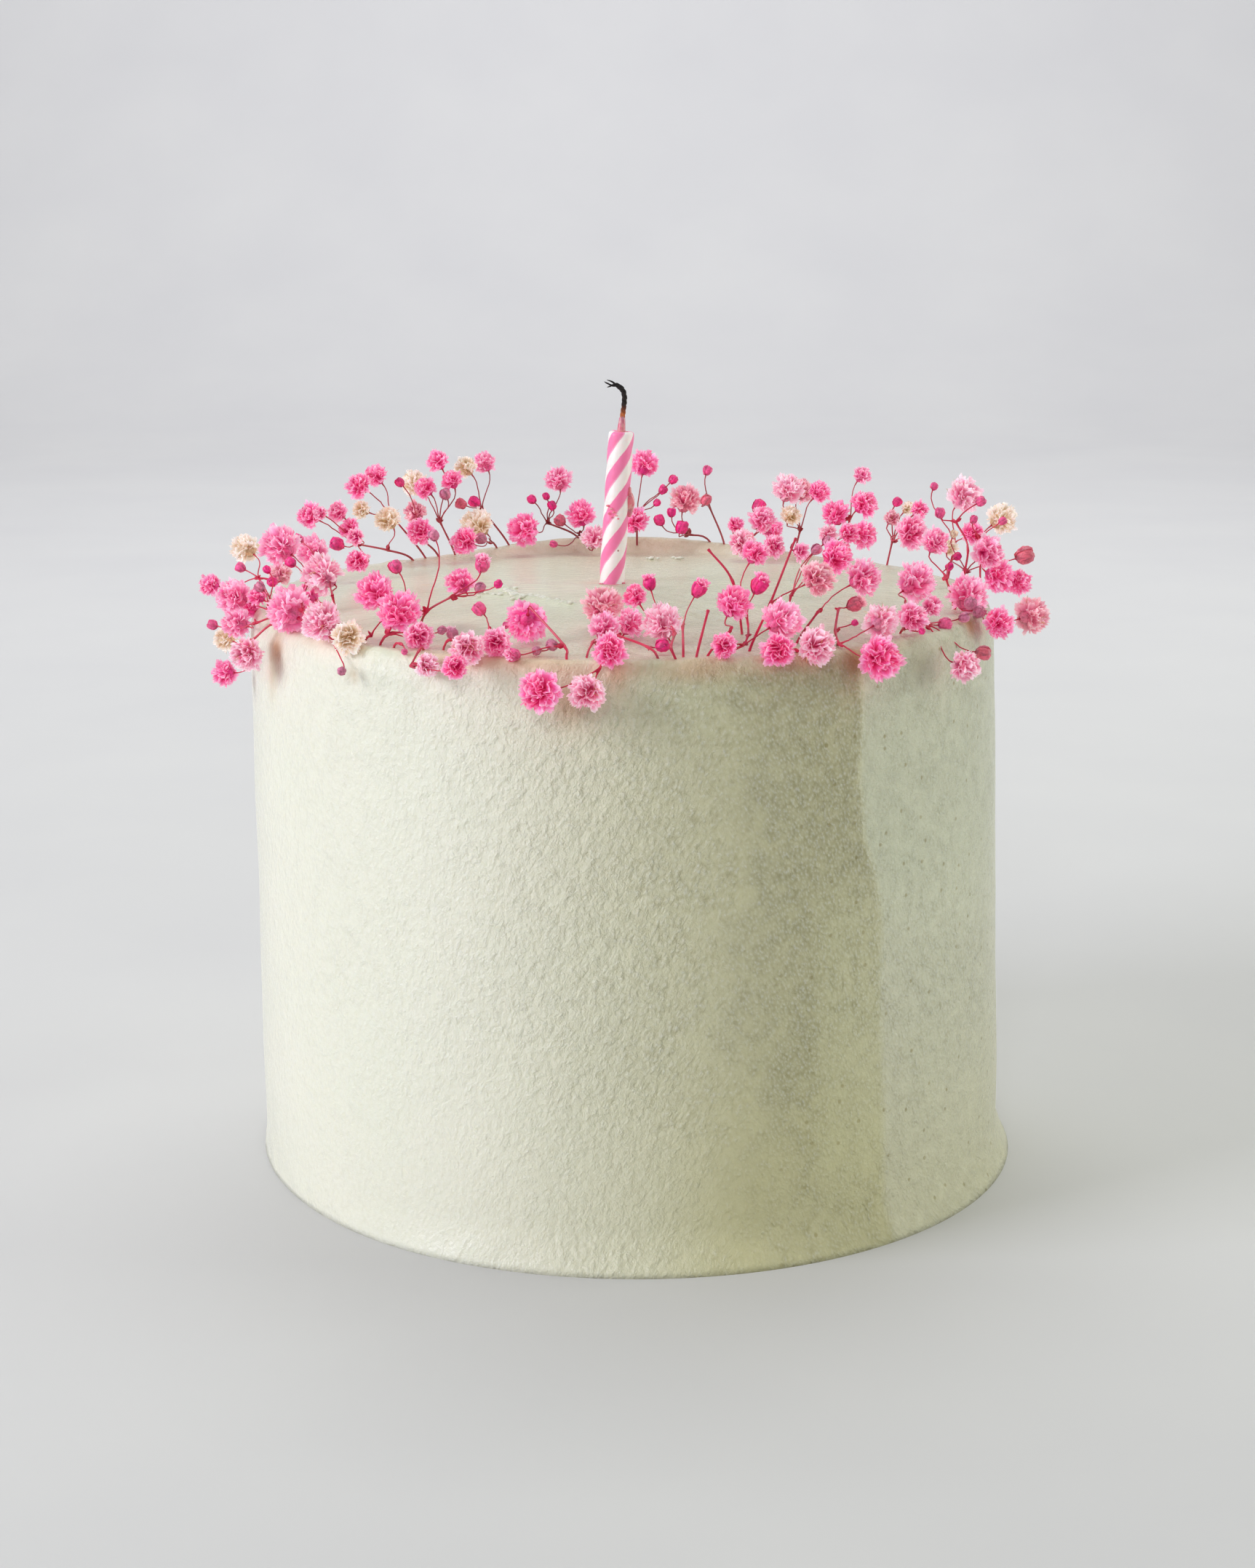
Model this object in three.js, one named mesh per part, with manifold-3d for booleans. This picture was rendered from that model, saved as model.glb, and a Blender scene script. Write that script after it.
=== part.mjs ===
// A round frosted birthday cake with one spiral candle and a wreath of small dried flowers.
// Millimetres, +Z up. The cake stands on z = 0 about the Z axis, and its front faces -Y.
import * as THREE from 'three';
import { mergeVertices } from 'three/addons/utils/BufferGeometryUtils.js';
import Module from 'manifold-3d';

// Cake
const cakeHeight = 125;        // up to the rim
const topRadius = 82.7;        // wall under the rim
const baseRadius = 84.2;       // wall above the foot
const taperStart = 20;         // height where the wall starts to draw in, to topRadius at taperEnd
const taperEnd = 117;
const axisLean = 0.0141;       // sideways drift of the cake's axis for each mm of height
const shoulderRadius = 4.5;    // rounding between wall and top
const domeRise = 3;            // middle of the top above the rim
const domeRadius = 80;
const lipRise = 0.8;           // frosting pushed up along the rim
const lipWidth = 3.5;
const backLip = { rise: 3, azimuth: 180, width: 24 };         // more of it at the back
const footHeight = 9;          // frosting that spreads at the foot
const footSpread = 2.9;
const leftTuck = { azimuth: -66, width: 34 };                 // none of it at the left
const frontSpread = { amount: 1, azimuth: 20, width: 34 };    // a little more of it in front
const cakeSegments = 36;

// Candle and wick
const candleFoot = [-4, 8];
const candleVisible = 34.5;
const candleBuried = 20;
const candleRadius = 2.9;
const grooveDepth = 0.3;       // notch between one twisted band and the next
const candleTurn = 25.5;       // height of one full turn
const candleLobes = 3;
const candleTilt = THREE.MathUtils.degToRad(3.9);
const wickBuried = 6;
const wickStubRadius = 0.9;
const wickRadius = 0.62;

// Flowers
const stemRadius = 0.55;
const branchRadius = 0.36;
const pegDepth = 7;            // stem pushed into the frosting
const pegClearance = 0.8;      // where the stem starts to bend, above the frosting
const pegUpright = 1.2;        // how much the peg stands up rather than follows the stem
const pegFlare = 0.3;          // how much it points away from the middle
const gap = 0.3;               // between pieces that touch
const mergeSize = 0.08;        // edges shorter than this close up where stems join

const colours = {
  frosting: '#d9d4c4', candle: '#e8a9bd', wick: '#3a2a24', stem: '#8d8a5c',
  hot: '#c2477f', rose: '#d07aa0', blush: '#e3bcc6', cream: '#eadfd3', peach: '#e3a98f', grey: '#8f7f84',
};

// Each sprig: where its stem leaves the frosting, then the points of its stem, and at each point the
// heads that branch off there. A head is its tint and kind, its diameter, and its middle's x and y
// and its height above the rim.
const sprigs = [
  // Left
  { foot: [-64.5, -48], stem: [
    { at: [-66, -50, 3], heads: [['rose bloom', 9.5, -71, -42.5, 5.5]] },
    { at: [-67.5, -47.5, 6], heads: [
      ['hot bud', 2.5, -72.5, -25, 13], ['rose bud', 2.5, -72.5, -10, 16],
      ['rose bloom', 8.5, -75.5, -20, 16], ['hot bloom', 5.5, -69.5, -20, 5]] }] },
  { foot: [-70, -32.5], stem: [
    { at: [-75, -32, 2.5], heads: [] },
    { at: [-79.5, -31.5, 1], heads: [
      ['rose bloom', 6.5, -85.5, -20, -1], ['hot bloom', 4.5, -83.5, -12, 1],
      ['rose bud', 2.5, -92, -10, -3]] }] },
  { foot: [-71.5, -28.5], stem: [
    { at: [-77.5, -24, 2.5], heads: [
      ['rose bloom', 7.5, -86.5, -15, 4], ['hot bloom', 4.5, -81, -17, 4.5],
      ['grey bud', 2.5, -80, -20, 7], ['hot bud', 2, -79, -15, 10]] }] },
  { foot: [-77, -18], stem: [
    { at: [-83, 2, 5.5], heads: [
      ['hot bloom', 5, -94.5, 5, 3.5], ['rose bud', 2.5, -87.5, 5, 7.5],
      ['cream bloom', 6.5, -87.5, 15, 10.5],
      ['peach bloom', 5, -78.5, 5, 6], ['hot bud', 2.5, -78.5, -10, 6.5]] }] },
  { foot: [-70, -37], stem: [
    { at: [-75, -38, 2], heads: [] },
    { at: [-79.5, -38, -1.5], heads: [
      ['blush bloom', 7, -80.5, -41.5, -4], ['hot bloom', 5.5, -88, -22, -11.5],
      ['cream bloom', 5.5, -90, -5, -7]] }] },
  { foot: [-57.5, -52], stem: [
    { at: [-60.5, -57.5, 2], heads: [
      ['blush bloom', 8, -63, -56, 5.5], ['grey bud', 2, -58, -66, -3],
      ['cream bloom', 6.5, -57, -62, 3]] }] },
  { foot: [-61, -39.5], stem: [
    { at: [-62, -42, 8.5], heads: [
      ['blush bloom', 8.5, -65, -35, 12], ['rose bloom', 7, -70, -5, 12.5]] }] },

  // Front, left of the middle
  { foot: [-54, -58], stem: [
    { at: [-52.5, -59.5, 3], heads: [['hot bloom', 8, -52.5, -50, 10.5]] }] },
  { foot: [-50.5, -60.5], stem: [
    { at: [-49, -61, 3.5], heads: [
      ['hot bloom', 8.5, -47, -57, 7.5], ['rose bud', 3, -48.5, -45, 15],
      ['rose bloom', 6, -42.5, -63, 3.5], ['grey bud', 2, -38, -62, 4.5]] }] },
  { foot: [-47.5, -63.5], stem: [
    { at: [-46, -66, 2.5], heads: [['rose bud', 1.5, -45, -69.5, 1.5]] }] },
  { foot: [-41.5, -67.5], stem: [
    { at: [-42, -71, 2], heads: [] },
    { at: [-43.5, -74.5, -0.5], heads: [
      ['blush bloom', 5, -40, -76, 0], ['hot bloom', 5, -34, -84, 1]] }] },
  { foot: [-43.5, -48], stem: [
    { at: [-41.5, -54, 7], heads: [
      ['grey bud', 2.5, -40.5, -45, 21.5], ['grey bud', 2.5, -44, -50, 6]] },
    { at: [-37, -48, 9], heads: [
      ['hot bloom', 6, -35.5, -40, 11], ['rose half', 4, -30.5, -45, 15.5],
      ['hot bud', 2, -27, -50, 12], ['grey bud', 2.5, -31, -45, 10.5]] }] },
  { foot: [-37.5, -64], stem: [
    { at: [-36.5, -65, 3], heads: [
      ['grey half', 3, -36, -60, 3.5], ['blush bloom', 6.5, -32, -78, 3.5]] }] },
  { foot: [-26, -70], stem: [
    { at: [-28, -66, 5], heads: [
      ['rose bud', 3, -30.5, -60, 8.5], ['rose bud', 1.5, -25, -62, 5.5],
      ['rose bloom', 6, -26.5, -74.5, 4]] }] },
  { foot: [-12.5, -78.5], stem: [
    { at: [-13, -75, 3.5], heads: [
      ['rose half', 3.5, -23, -79, 2.5], ['grey bud', 2, -18.5, -75, 2.5],
      ['grey bud', 2.5, -15.5, -74, 3.5]] },
    { at: [-20, -67, 10], heads: [['hot bloom', 8, -21, -61, 6]] }] },
  { foot: [-5, -79.5], stem: [
    { at: [-6, -84, 0.5], heads: [
      ['hot bloom', 8, -17.5, -89, -3], ['blush bloom', 7, -8.5, -88, -3.5]] }] },

  // Front, middle
  { foot: [-8.5, -77], stem: [
    { at: [-7.5, -72, 3.5], heads: [
      ['rose bloom', 6.5, -5, -62, 5], ['peach bloom', 8, -5.5, -48, 7]] }] },
  { foot: [-2, -77], stem: [
    { at: [-2.5, -78.5, 2], heads: [['hot bloom', 6.5, -4, -83.5, 4]] }] },
  { foot: [5.5, -79], stem: [
    { at: [3.5, -74, 3], heads: [['hot bud', 3, 6.5, -72, 3]] },
    { at: [-2.5, -66, 4], heads: [['rose bloom', 6, 0, -57, 5]] }] },
  { foot: [9, -79], stem: [
    { at: [8, -78, 3.5], heads: [] },
    { at: [9, -70, 5], heads: [
      ['blush bloom', 8, 6.5, -62, 6], ['hot bloom', 5, 1, -50, 9.5],
      ['hot half', 3.5, 4, -52, 12.5]] }] },
  { foot: [10.5, -76], stem: [
    { at: [10.5, -70, 6.5], heads: [['hot half', 4, 14, -60, 12.5]] }] },
  { foot: [13, -78], stem: [
    { at: [15.5, -72, 10], heads: [] }] },
  { foot: [23, -53], stem: [
    { at: [21, -54, 13], heads: [] },
    { at: [16, -53, 19.5], heads: [] }] },
  { foot: [15.5, -75.5], stem: [
    { at: [20, -70, 5.5], heads: [['hot bloom', 7, 21, -60, 9.5]] }] },
  { foot: [18.5, -77], stem: [
    { at: [22.5, -72, 3], heads: [['hot bloom', 5, 18.5, -78, 4], ['rose bloom', 8, 30.5, -66, 7]] },
    { at: [23.5, -68, 4], heads: [
      ['hot half', 4.5, 26.5, -55, 12.5], ['hot bloom', 5.5, 26, -45, 17.5]] }] },
  { foot: [24, -68], stem: [
    { at: [28.5, -58, 9], heads: [['peach bloom', 7, 38.5, -53, 13.5]] },
    { at: [34.5, -42, 20], heads: [['rose bloom', 4, 36, -37, 16.5]] }] },
  { foot: [30.5, -64], stem: [
    { at: [33, -52, 9.5], heads: [
      ['grey bud', 2.5, 39, -40, 17.5], ['grey bud', 2.5, 41.5, -38, 19],
      ['hot bloom', 7, 43, -44, 16.5]] }] },

  // Front, right of the middle
  { foot: [34, -60], stem: [
    { at: [38.5, -53.5, 6.5], heads: [['rose bloom', 7.5, 49, -40, 11.5]] }] },
  { foot: [42, -63], stem: [
    { at: [42, -66, 2], heads: [['blush bloom', 7, 51.5, -54, 4.5], ['hot bloom', 8.5, 50, -71, 0]] },
    { at: [41.5, -62, 4], heads: [['hot bud', 1.5, 46, -55, 4.5]] },
    { at: [42.5, -56, 7.5], heads: [['peach half', 4, 46.5, -50, 7.5]] }] },
  { foot: [33.5, -71], stem: [
    { at: [32.5, -72.5, 2], heads: [
      ['hot bloom', 6.5, 29, -78, 3], ['blush bloom', 7.5, 37, -74, 3]] }] },
  { foot: [57.5, -40], stem: [
    { at: [57.5, -42, 6], heads: [['rose bloom', 8.5, 61, -30, 9]] }] },
  { foot: [60, -44.5], stem: [
    { at: [61.5, -46, 2.5], heads: [
      ['rose bloom', 4.5, 63.5, -38, 5], ['peach bud', 3.5, 74, -43, -4],
      ['blush bloom', 6.5, 69, -53, -5],
      ['grey bud', 2.5, 70.5, -37, 2.5], ['rose bud', 3, 66, -42, 2]] }] },
  { foot: [56, -49.5], stem: [
    { at: [56.5, -51, 2.5], heads: [
      ['rose bloom', 6, 58, -54, 5.5], ['hot bud', 1.5, 59.5, -57, 3]] }] },

  // Right
  { foot: [71, -17], stem: [
    { at: [74.5, -8, 12.5], heads: [] },
    { at: [72, -6, 18.5], heads: [
      ['rose bud', 2.5, 68.5, -5, 20.5], ['rose bud', 2.5, 77.5, -5, 23]] }] },
  { foot: [71, -12], stem: [
    { at: [68.5, -20, 8], heads: [
      ['rose bloom', 6, 66.5, -15, 15.5], ['hot bud', 2, 70, -12, 9.5],
      ['hot bud', 2, 72, -10, 11.5]] }] },
  { foot: [76, -19], stem: [
    { at: [77.5, -5, 14.5], heads: [
      ['rose bloom', 7, 78.5, -11, 12.5], ['cream bloom', 7, 83, 0, 18.5], ['rose bud', 2, 82, -8, 19],
      ['rose bud', 2, 76, -5, 19], ['hot bloom', 7, 81.5, -7, 6.5],
      ['hot bloom', 5.5, 86.5, -5, 5]] }] },
  { foot: [74, -26], stem: [
    { at: [75, -27, 1.5], heads: [
      ['rose bloom', 8.5, 73, -22, 5], ['grey bud', 3, 74.5, -30, 2.5], ['grey bud', 3, 72.5, -31, 4.5],
      ['hot bloom', 6.5, 78.5, -32.5, 0.5], ['peach bloom', 8, 89.5, -5, -2.5]] }] },
  { foot: [74, 8], stem: [
    { at: [76, 9, 5], heads: [
      ['peach bud', 4.5, 89, 5, 9.5], ['cream bud', 2.5, 83.5, 15, 10.5],
      ['cream bloom', 4, 73, 15, 10], ['cream bud', 2, 74, 15, 13]] }] },
  { foot: [74, 25], stem: [
    { at: [75.5, 26, 9], heads: [
      ['hot bloom', 5.5, 79, 20, 12.5], ['blush bloom', 8, 78, 30, 20],
      ['rose bud', 2, 71.5, 35, 21.5]] }] },

  // Back, from right to left
  { foot: [62, 48], stem: [
    { at: [63, 46.5, 7], heads: [
      ['hot bud', 2.5, 64, 46, 16.5], ['cream bloom', 3.5, 66.5, 46, 15],
      ['hot bloom', 4.5, 69, 42, 15],
      ['peach bloom', 4, 62.5, 43, 13], ['rose bloom', 7.5, 65.5, 25, 12]] }] },
  { foot: [52, 58], stem: [
    { at: [52.5, 54, 7], heads: [
      ['hot bloom', 5, 52.5, 46, 9], ['blush bloom', 4.5, 48, 52, 8],
      ['hot bloom', 6.5, 56.5, 50, 8]] },
    { at: [53.5, 56, 11], heads: [
      ['hot bloom', 6.5, 50, 56, 12.5], ['hot bloom', 6.5, 57, 54, 15],
      ['rose bloom', 4.5, 56.5, 58, 21.5]] }] },
  { foot: [41, 66], stem: [
    { at: [42, 65, 7], heads: [
      ['cream bloom', 5, 39.5, 60, 11.5], ['hot bloom', 5.5, 46.5, 62, 17],
      ['blush bloom', 7.5, 39, 64, 17.5], ['peach bloom', 6, 43, 72, 16]] }] },
  { foot: [30, 70], stem: [
    { at: [30, 66, 5], heads: [
      ['hot bloom', 4, 26, 58, 9.5], ['blush bloom', 6.5, 27.5, 52, 6],
      ['rose bloom', 5.5, 35, 50, 5.5]] },
    { at: [32, 66, 7], heads: [
      ['rose bloom', 6.5, 32.5, 60, 10.5], ['hot bloom', 5.5, 35.5, 68, 7],
      ['hot bud', 4, 32, 66, 13]] }] },
  { foot: [23.5, 73.5], stem: [
    { at: [20, 74, 12], heads: [['rose bud', 2.5, 19.5, 74, 21], ['peach bud', 3, 19, 67, 14.5]] }] },
  { foot: [19.5, 75], stem: [
    { at: [15, 74, 5], heads: [
      ['peach bloom', 7.5, 14, 72, 14], ['hot bud', 2.5, 10.5, 67, 11.5],
      ['hot bud', 3, 7.5, 68, 9.5], ['hot bud', 3.5, 13, 66, 8]] }] },
  { foot: [2, 75], stem: [
    { at: [2, 75, 10], heads: [
      ['hot bloom', 7, 4, 76, 22.5], ['hot bloom', 6.5, 1.5, 68, 9.5], ['hot bud', 2.5, 11, 72, 19],
      ['hot bud', 2.5, 8.5, 72, 16.5], ['hot bud', 2, 7, 70, 13.5]] }] },
  { foot: [-9.5, 77.5], stem: [
    { at: [-12, 74, 5], heads: [
      ['hot bloom', 7, -12, 72, 10.5], ['peach bud', 3, -17, 68, 9.5],
      ['blush bloom', 6.5, -8.5, 66, 5.5], ['rose bud', 2, -18.5, 62, 4.5]] }] },
  { foot: [-13, 77], stem: [
    { at: [-20, 74, 8], heads: [
      ['hot bloom', 8, -26, 66, 7.5], ['hot bud', 2.5, -24, 70, 14.5], ['hot bud', 2, -20.5, 72, 15],
      ['hot bud', 2.5, -19, 70, 13], ['rose bloom', 6.5, -17.5, 74, 19]] }] },
  { foot: [-33, 71], stem: [
    { at: [-34, 69, 4], heads: [
      ['cream bloom', 8, -37.5, 64, 9], ['hot bloom', 6.5, -40, 54, 6.5],
      ['grey bud', 3, -36, 58, 6.5]] }] },
  { foot: [-30, 73], stem: [
    { at: [-36, 69, 12], heads: [
      ['cream bloom', 5.5, -40, 66, 23], ['rose bloom', 5.5, -35.5, 71, 23.5],
      ['hot bud', 3, -38, 66, 14.5], ['peach bud', 3, -41, 62, 14.5]] }] },
  { foot: [-43, 65], stem: [
    { at: [-46, 61, 10], heads: [
      ['cream bloom', 6.5, -52.5, 64, 19.5], ['hot bloom', 5.5, -49.5, 58, 19],
      ['hot bloom', 5.5, -46.5, 62, 25],
      ['hot bloom', 5, -43, 60, 20.5], ['grey bud', 3, -44.5, 57, 17.5]] }] },
  { foot: [-47, 62.5], stem: [
    { at: [-50, 58, 6], heads: [
      ['hot bud', 2.5, -55, 52, 21], ['peach bloom', 5.5, -52, 58, 13],
      ['hot bloom', 6.5, -50.5, 52, 9]] }] },
  { foot: [-50, 60], stem: [
    { at: [-57, 51, 13], heads: [
      ['hot bloom', 6, -64, 42, 21.5], ['hot bloom', 5.5, -60.5, 48, 23],
      ['cream bloom', 4.5, -63.5, 43, 15.5]] }] },
  { foot: [-53, 57], stem: [
    { at: [-58, 49, 5], heads: [['cream bloom', 6, -57.5, 45, 13]] },
    { at: [-64, 38, 8], heads: [
      ['rose bloom', 4, -63.5, 26, 11.5], ['hot bud', 3.5, -68, 28, 9.5],
      ['hot bloom', 5.5, -63, 24, 6],
      ['hot bloom', 6, -74.5, 30, 16], ['rose bloom', 3.5, -71.5, 26, 17],
      ['rose bloom', 5, -68.5, 36, 16],
      ['hot bloom', 5, -65.5, 33, 12.5]] }] },
];

const wasm = await Module();
wasm.setup();

function solidOf(geometry) {
  geometry.deleteAttribute('normal');
  geometry.deleteAttribute('uv');
  const merged = mergeVertices(geometry, 1e-4);
  return new wasm.Manifold(new wasm.Mesh({
    numProp: 3,
    vertProperties: new Float32Array(merged.attributes.position.array),
    triVerts: new Uint32Array(merged.index.array),
  }));
}

function geometryOf(solid) {
  const { numProp, vertProperties, triVerts } = solid.getMesh();
  const positions = new Float32Array(vertProperties.length / numProp * 3);
  for (let i = 0; i < positions.length / 3; i++) {
    positions.set(vertProperties.subarray(i * numProp, i * numProp + 3), i * 3);
  }
  const geometry = new THREE.BufferGeometry();
  geometry.setAttribute('position', new THREE.BufferAttribute(positions, 3));
  geometry.setIndex(new THREE.BufferAttribute(new Uint32Array(triVerts), 1));
  geometry.computeVertexNormals();
  return geometry;
}

function reshape(geometry, move) {
  const position = geometry.attributes.position;
  const point = new THREE.Vector3();
  for (let i = 0; i < position.count; i++) {
    move(point.fromBufferAttribute(position, i));
    position.setXYZ(i, point.x, point.y, point.z);
  }
  return geometry;
}

const bump = (angle, middle, width) => Math.exp(-(((angle - middle) / width) ** 2));

// Degrees round the cake from the front towards +X: -90 is the left, 180 the back.
const azimuth = (x, y) => THREE.MathUtils.radToDeg(Math.atan2(x, -y));

function wallRadius(z, angle) {
  const taper = (baseRadius - topRadius) * Math.max(0, (z - taperStart) / (taperEnd - taperStart)) ** 1.1;
  const spread = footSpread * (1 - bump(angle, leftTuck.azimuth, leftTuck.width))
    + frontSpread.amount * bump(angle, frontSpread.azimuth, frontSpread.width);
  return baseRadius - taper + spread * Math.max(0, 1 - z / footHeight) ** 1.6;
}

function rimLip(radius, angle) {
  const rise = lipRise + backLip.rise * bump(Math.abs(angle), backLip.azimuth, backLip.width);
  return rise * bump(radius, topRadius - shoulderRadius, lipWidth);
}

function domeAt(radius) {
  return domeRise * (1 - (Math.min(radius, topRadius - shoulderRadius) / domeRadius) ** 2);
}

function topHeight(x, y) {
  const radius = Math.hypot(x + axisLean * cakeHeight, y);
  const past = Math.max(0, radius - topRadius + shoulderRadius);
  const shoulder = shoulderRadius - Math.sqrt(Math.max(0, shoulderRadius ** 2 - past ** 2));
  return cakeHeight + domeAt(radius) - shoulder + rimLip(radius, azimuth(x, y));
}

// The frosting as a lathe, whose plain profile is then spread, domed, lipped and leaned. Its wall has
// rows at the foot, where it spreads, and one halfway up.
function frostedCake() {
  const flat = topRadius - shoulderRadius;
  const wall = [0, 2, footHeight, cakeHeight / 2, cakeHeight - shoulderRadius]
    .map((z) => new THREE.Vector2(topRadius, z));
  const shoulder = [35, 65].map(THREE.MathUtils.degToRad).map((turn) => new THREE.Vector2(
    flat + shoulderRadius * Math.cos(turn), cakeHeight - shoulderRadius * (1 - Math.sin(turn))));
  const top = [flat, 74, 50, 25].map((radius) => new THREE.Vector2(radius, cakeHeight));
  const profile = [new THREE.Vector2(0, 0), ...wall, ...shoulder, ...top, new THREE.Vector2(0, cakeHeight)];
  const lathe = new THREE.LatheGeometry(profile, cakeSegments).rotateX(Math.PI / 2);
  return reshape(lathe, (point) => {
    const radius = Math.hypot(point.x, point.y);
    const angle = azimuth(point.x, point.y);
    if (radius > flat + 0.01) {
      const scale = (radius - topRadius + wallRadius(point.z, angle)) / radius;
      point.x *= scale;
      point.y *= scale;
    }
    if (point.z > cakeHeight - shoulderRadius) {
      point.z += domeAt(radius) + rimLip(radius, angle);
    }
    if (radius > 0.01 || point.z > 1) point.x -= axisLean * point.z;
  });
}

// A run of straight legs, with one step of an extrusion for each leg.
class Route extends THREE.Curve {
  constructor(points) {
    super();
    this.points = points;
  }
  getPoint(t, target = new THREE.Vector3()) {
    const legs = this.points.length - 1;
    const leg = Math.min(Math.floor(t * legs), legs - 1);
    return target.lerpVectors(this.points[leg], this.points[leg + 1], t * legs - leg);
  }
  getUtoTmapping(u) {
    return u;
  }
}

function ring(radius, sides) {
  const corners = Array.from({ length: sides }, (_, i) => {
    const turn = 2 * Math.PI * i / sides;
    return new THREE.Vector2(radius * Math.cos(turn), radius * Math.sin(turn));
  });
  return new THREE.Shape(corners);
}

function rod(points, radius, sides) {
  const settings = { steps: points.length - 1, extrudePath: new Route(points) };
  return solidOf(new THREE.ExtrudeGeometry(ring(radius, sides), settings));
}

// Heads, as lathe profiles in diameters along the branch, with the middle at 0.
const profiles = {
  bloom: { sides: 5, points: [[0.5, -0.06], [0.36, 0.28], [0, 0.4]] },
  half: { sides: 4, points: [[0.38, -0.3], [0.48, 0.28], [0, 0.45]] },
  bud: { sides: 4, points: [[0.5, -0.12], [0.36, 0.3], [0, 0.6]] },
};
const smallBloom = 5.2;        // below this a bloom gets one side less
const longBranch = 12;         // above this a branch bows
const bow = 0.1;               // bow of a long branch, in its lengths

// A head on its branch, as one lathe along +Y. It starts inside the stem, and a long branch leaves
// the stem along the stem's own direction and bows towards its head.
function headOnBranch(node, along, [look, size, x, y, up]) {
  const { sides, points } = profiles[look.split(' ')[1]];
  const middle = new THREE.Vector3(x, y, cakeHeight + up);
  const reach = middle.distanceTo(node);
  const heading = middle.clone().sub(node).normalize();
  const neck = reach - 0.42 * size;
  const outline = [[0, -0.6], [branchRadius, -0.2], [branchRadius, neck]];
  if (reach > longBranch) outline.splice(2, 0, [branchRadius, neck / 2]);
  for (const [radius, height] of points) outline.push([radius * size, reach + height * size]);
  const profile = outline.map(([radius, height]) => new THREE.Vector2(radius, height));
  const lathe = new THREE.LatheGeometry(profile, size < smallBloom ? Math.min(sides, 4) : sides);
  lathe.applyQuaternion(new THREE.Quaternion().setFromUnitVectors(new THREE.Vector3(0, 1, 0), heading));
  const sideways = along.clone().addScaledVector(heading, -along.dot(heading)).multiplyScalar(bow * reach);
  reshape(lathe, (point) => {
    if (reach > longBranch && Math.abs(point.dot(heading) - neck / 2) < 0.01) point.add(sideways);
    point.add(node);
  });
  return solidOf(lathe);
}

function pegOf(plan) {
  const [x, y] = plan.foot;
  const foot = new THREE.Vector3(x, y, topHeight(x, y) + pegClearance);
  const first = plan.stem[0].at;
  const leaving = new THREE.Vector3(first[0], first[1], cakeHeight + first[2]).sub(foot).normalize();
  leaving.add(new THREE.Vector3(pegFlare * x / topRadius, pegFlare * y / topRadius, pegUpright)).normalize();
  return { foot, end: foot.clone().addScaledVector(leaving, -pegDepth), leaving };
}

function sprigSolid(plan) {
  const { foot, end } = pegOf(plan);
  const nodes = plan.stem.map(({ at: [x, y, up] }) => new THREE.Vector3(x, y, cakeHeight + up));
  const pieces = [rod([end, foot, ...nodes], stemRadius, 4)];
  let before = foot;
  nodes.forEach((node, i) => {
    const along = node.clone().sub(before).normalize();
    for (const head of plan.stem[i].heads) pieces.push(headOnBranch(node, along, head));
    before = node;
  });
  return wasm.Manifold.union(pieces).asOriginal().simplify(mergeSize);
}

function socketOf(plan) {
  const { foot, end, leaving } = pegOf(plan);
  const radius = stemRadius + gap / Math.cos(Math.PI / 4);
  const bottom = end.clone().addScaledVector(leaving, -gap);
  return rod([bottom, foot.clone().addScaledVector(leaving, 2 * pegClearance)], radius, 4);
}

// Frame of the candle: its foot on the frosting, leaning to the right.
const candleFrame = new THREE.Matrix4()
  .makeRotationY(candleTilt)
  .setPosition(candleFoot[0], candleFoot[1], topHeight(...candleFoot));

function candleSection(clearance) {
  const pointsPerLobe = 4;
  const corners = Array.from({ length: candleLobes * pointsPerLobe }, (_, i) => {
    const turn = 2 * Math.PI * i / (candleLobes * pointsPerLobe);
    const radius = candleRadius + clearance - (i % pointsPerLobe === 0 ? grooveDepth : 0);
    return new THREE.Vector2(radius * Math.cos(turn), radius * Math.sin(turn));
  });
  return new THREE.Shape(corners);
}

function candleSolid() {
  const depth = candleVisible + candleBuried;
  const straight = new THREE.ExtrudeGeometry(candleSection(0), { depth, steps: 12, bevelEnabled: false });
  const twisted = reshape(straight, (point) => {
    point.applyAxisAngle(new THREE.Vector3(0, 0, 1), 2 * Math.PI * point.z / candleTurn);
    point.z -= candleBuried;
  });
  const holeRadius = wickStubRadius + gap;
  const hole = new THREE.CylinderGeometry(holeRadius, holeRadius, wickBuried + 1 + gap, 8)
    .rotateX(Math.PI / 2).translate(0, 0, candleVisible + (1 - wickBuried - gap) / 2);
  return solidOf(twisted.applyMatrix4(candleFrame)).subtract(solidOf(hole.applyMatrix4(candleFrame)));
}

function candleSocket() {
  const radius = candleRadius + gap + 0.1;
  const bore = new THREE.CylinderGeometry(radius, radius, candleBuried + 4, 16)
    .rotateX(Math.PI / 2).translate(0, 0, (4 - candleBuried) / 2 - gap);
  return solidOf(bore.applyMatrix4(candleFrame));
}

// A wax-coated stub that narrows upwards, and a burnt end that bends over to the left.
function wickSolid() {
  const stubHeight = 3.2;
  const outline = [
    [0, -wickBuried], [0.7, -wickBuried], [wickStubRadius, 0], [wickRadius, stubHeight], [0, stubHeight]];
  const stub = new THREE.LatheGeometry(outline.map(([radius, z]) => new THREE.Vector2(radius, z)), 8)
    .rotateX(Math.PI / 2);
  const burnt = [[0, 2.5], [0.2, 5.6], [0.2, 7.6], [-0.2, 9], [-1.5, 10.1], [-3.6, 10.3]]
    .map(([x, z]) => new THREE.Vector3(x, 0, z));
  const above = new THREE.Matrix4().makeTranslation(0, 0, candleVisible).premultiply(candleFrame);
  return solidOf(stub).add(rod(burnt, wickRadius, 6)).transform(above.toArray());
}

const cakeGroup = new THREE.Group();

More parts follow.
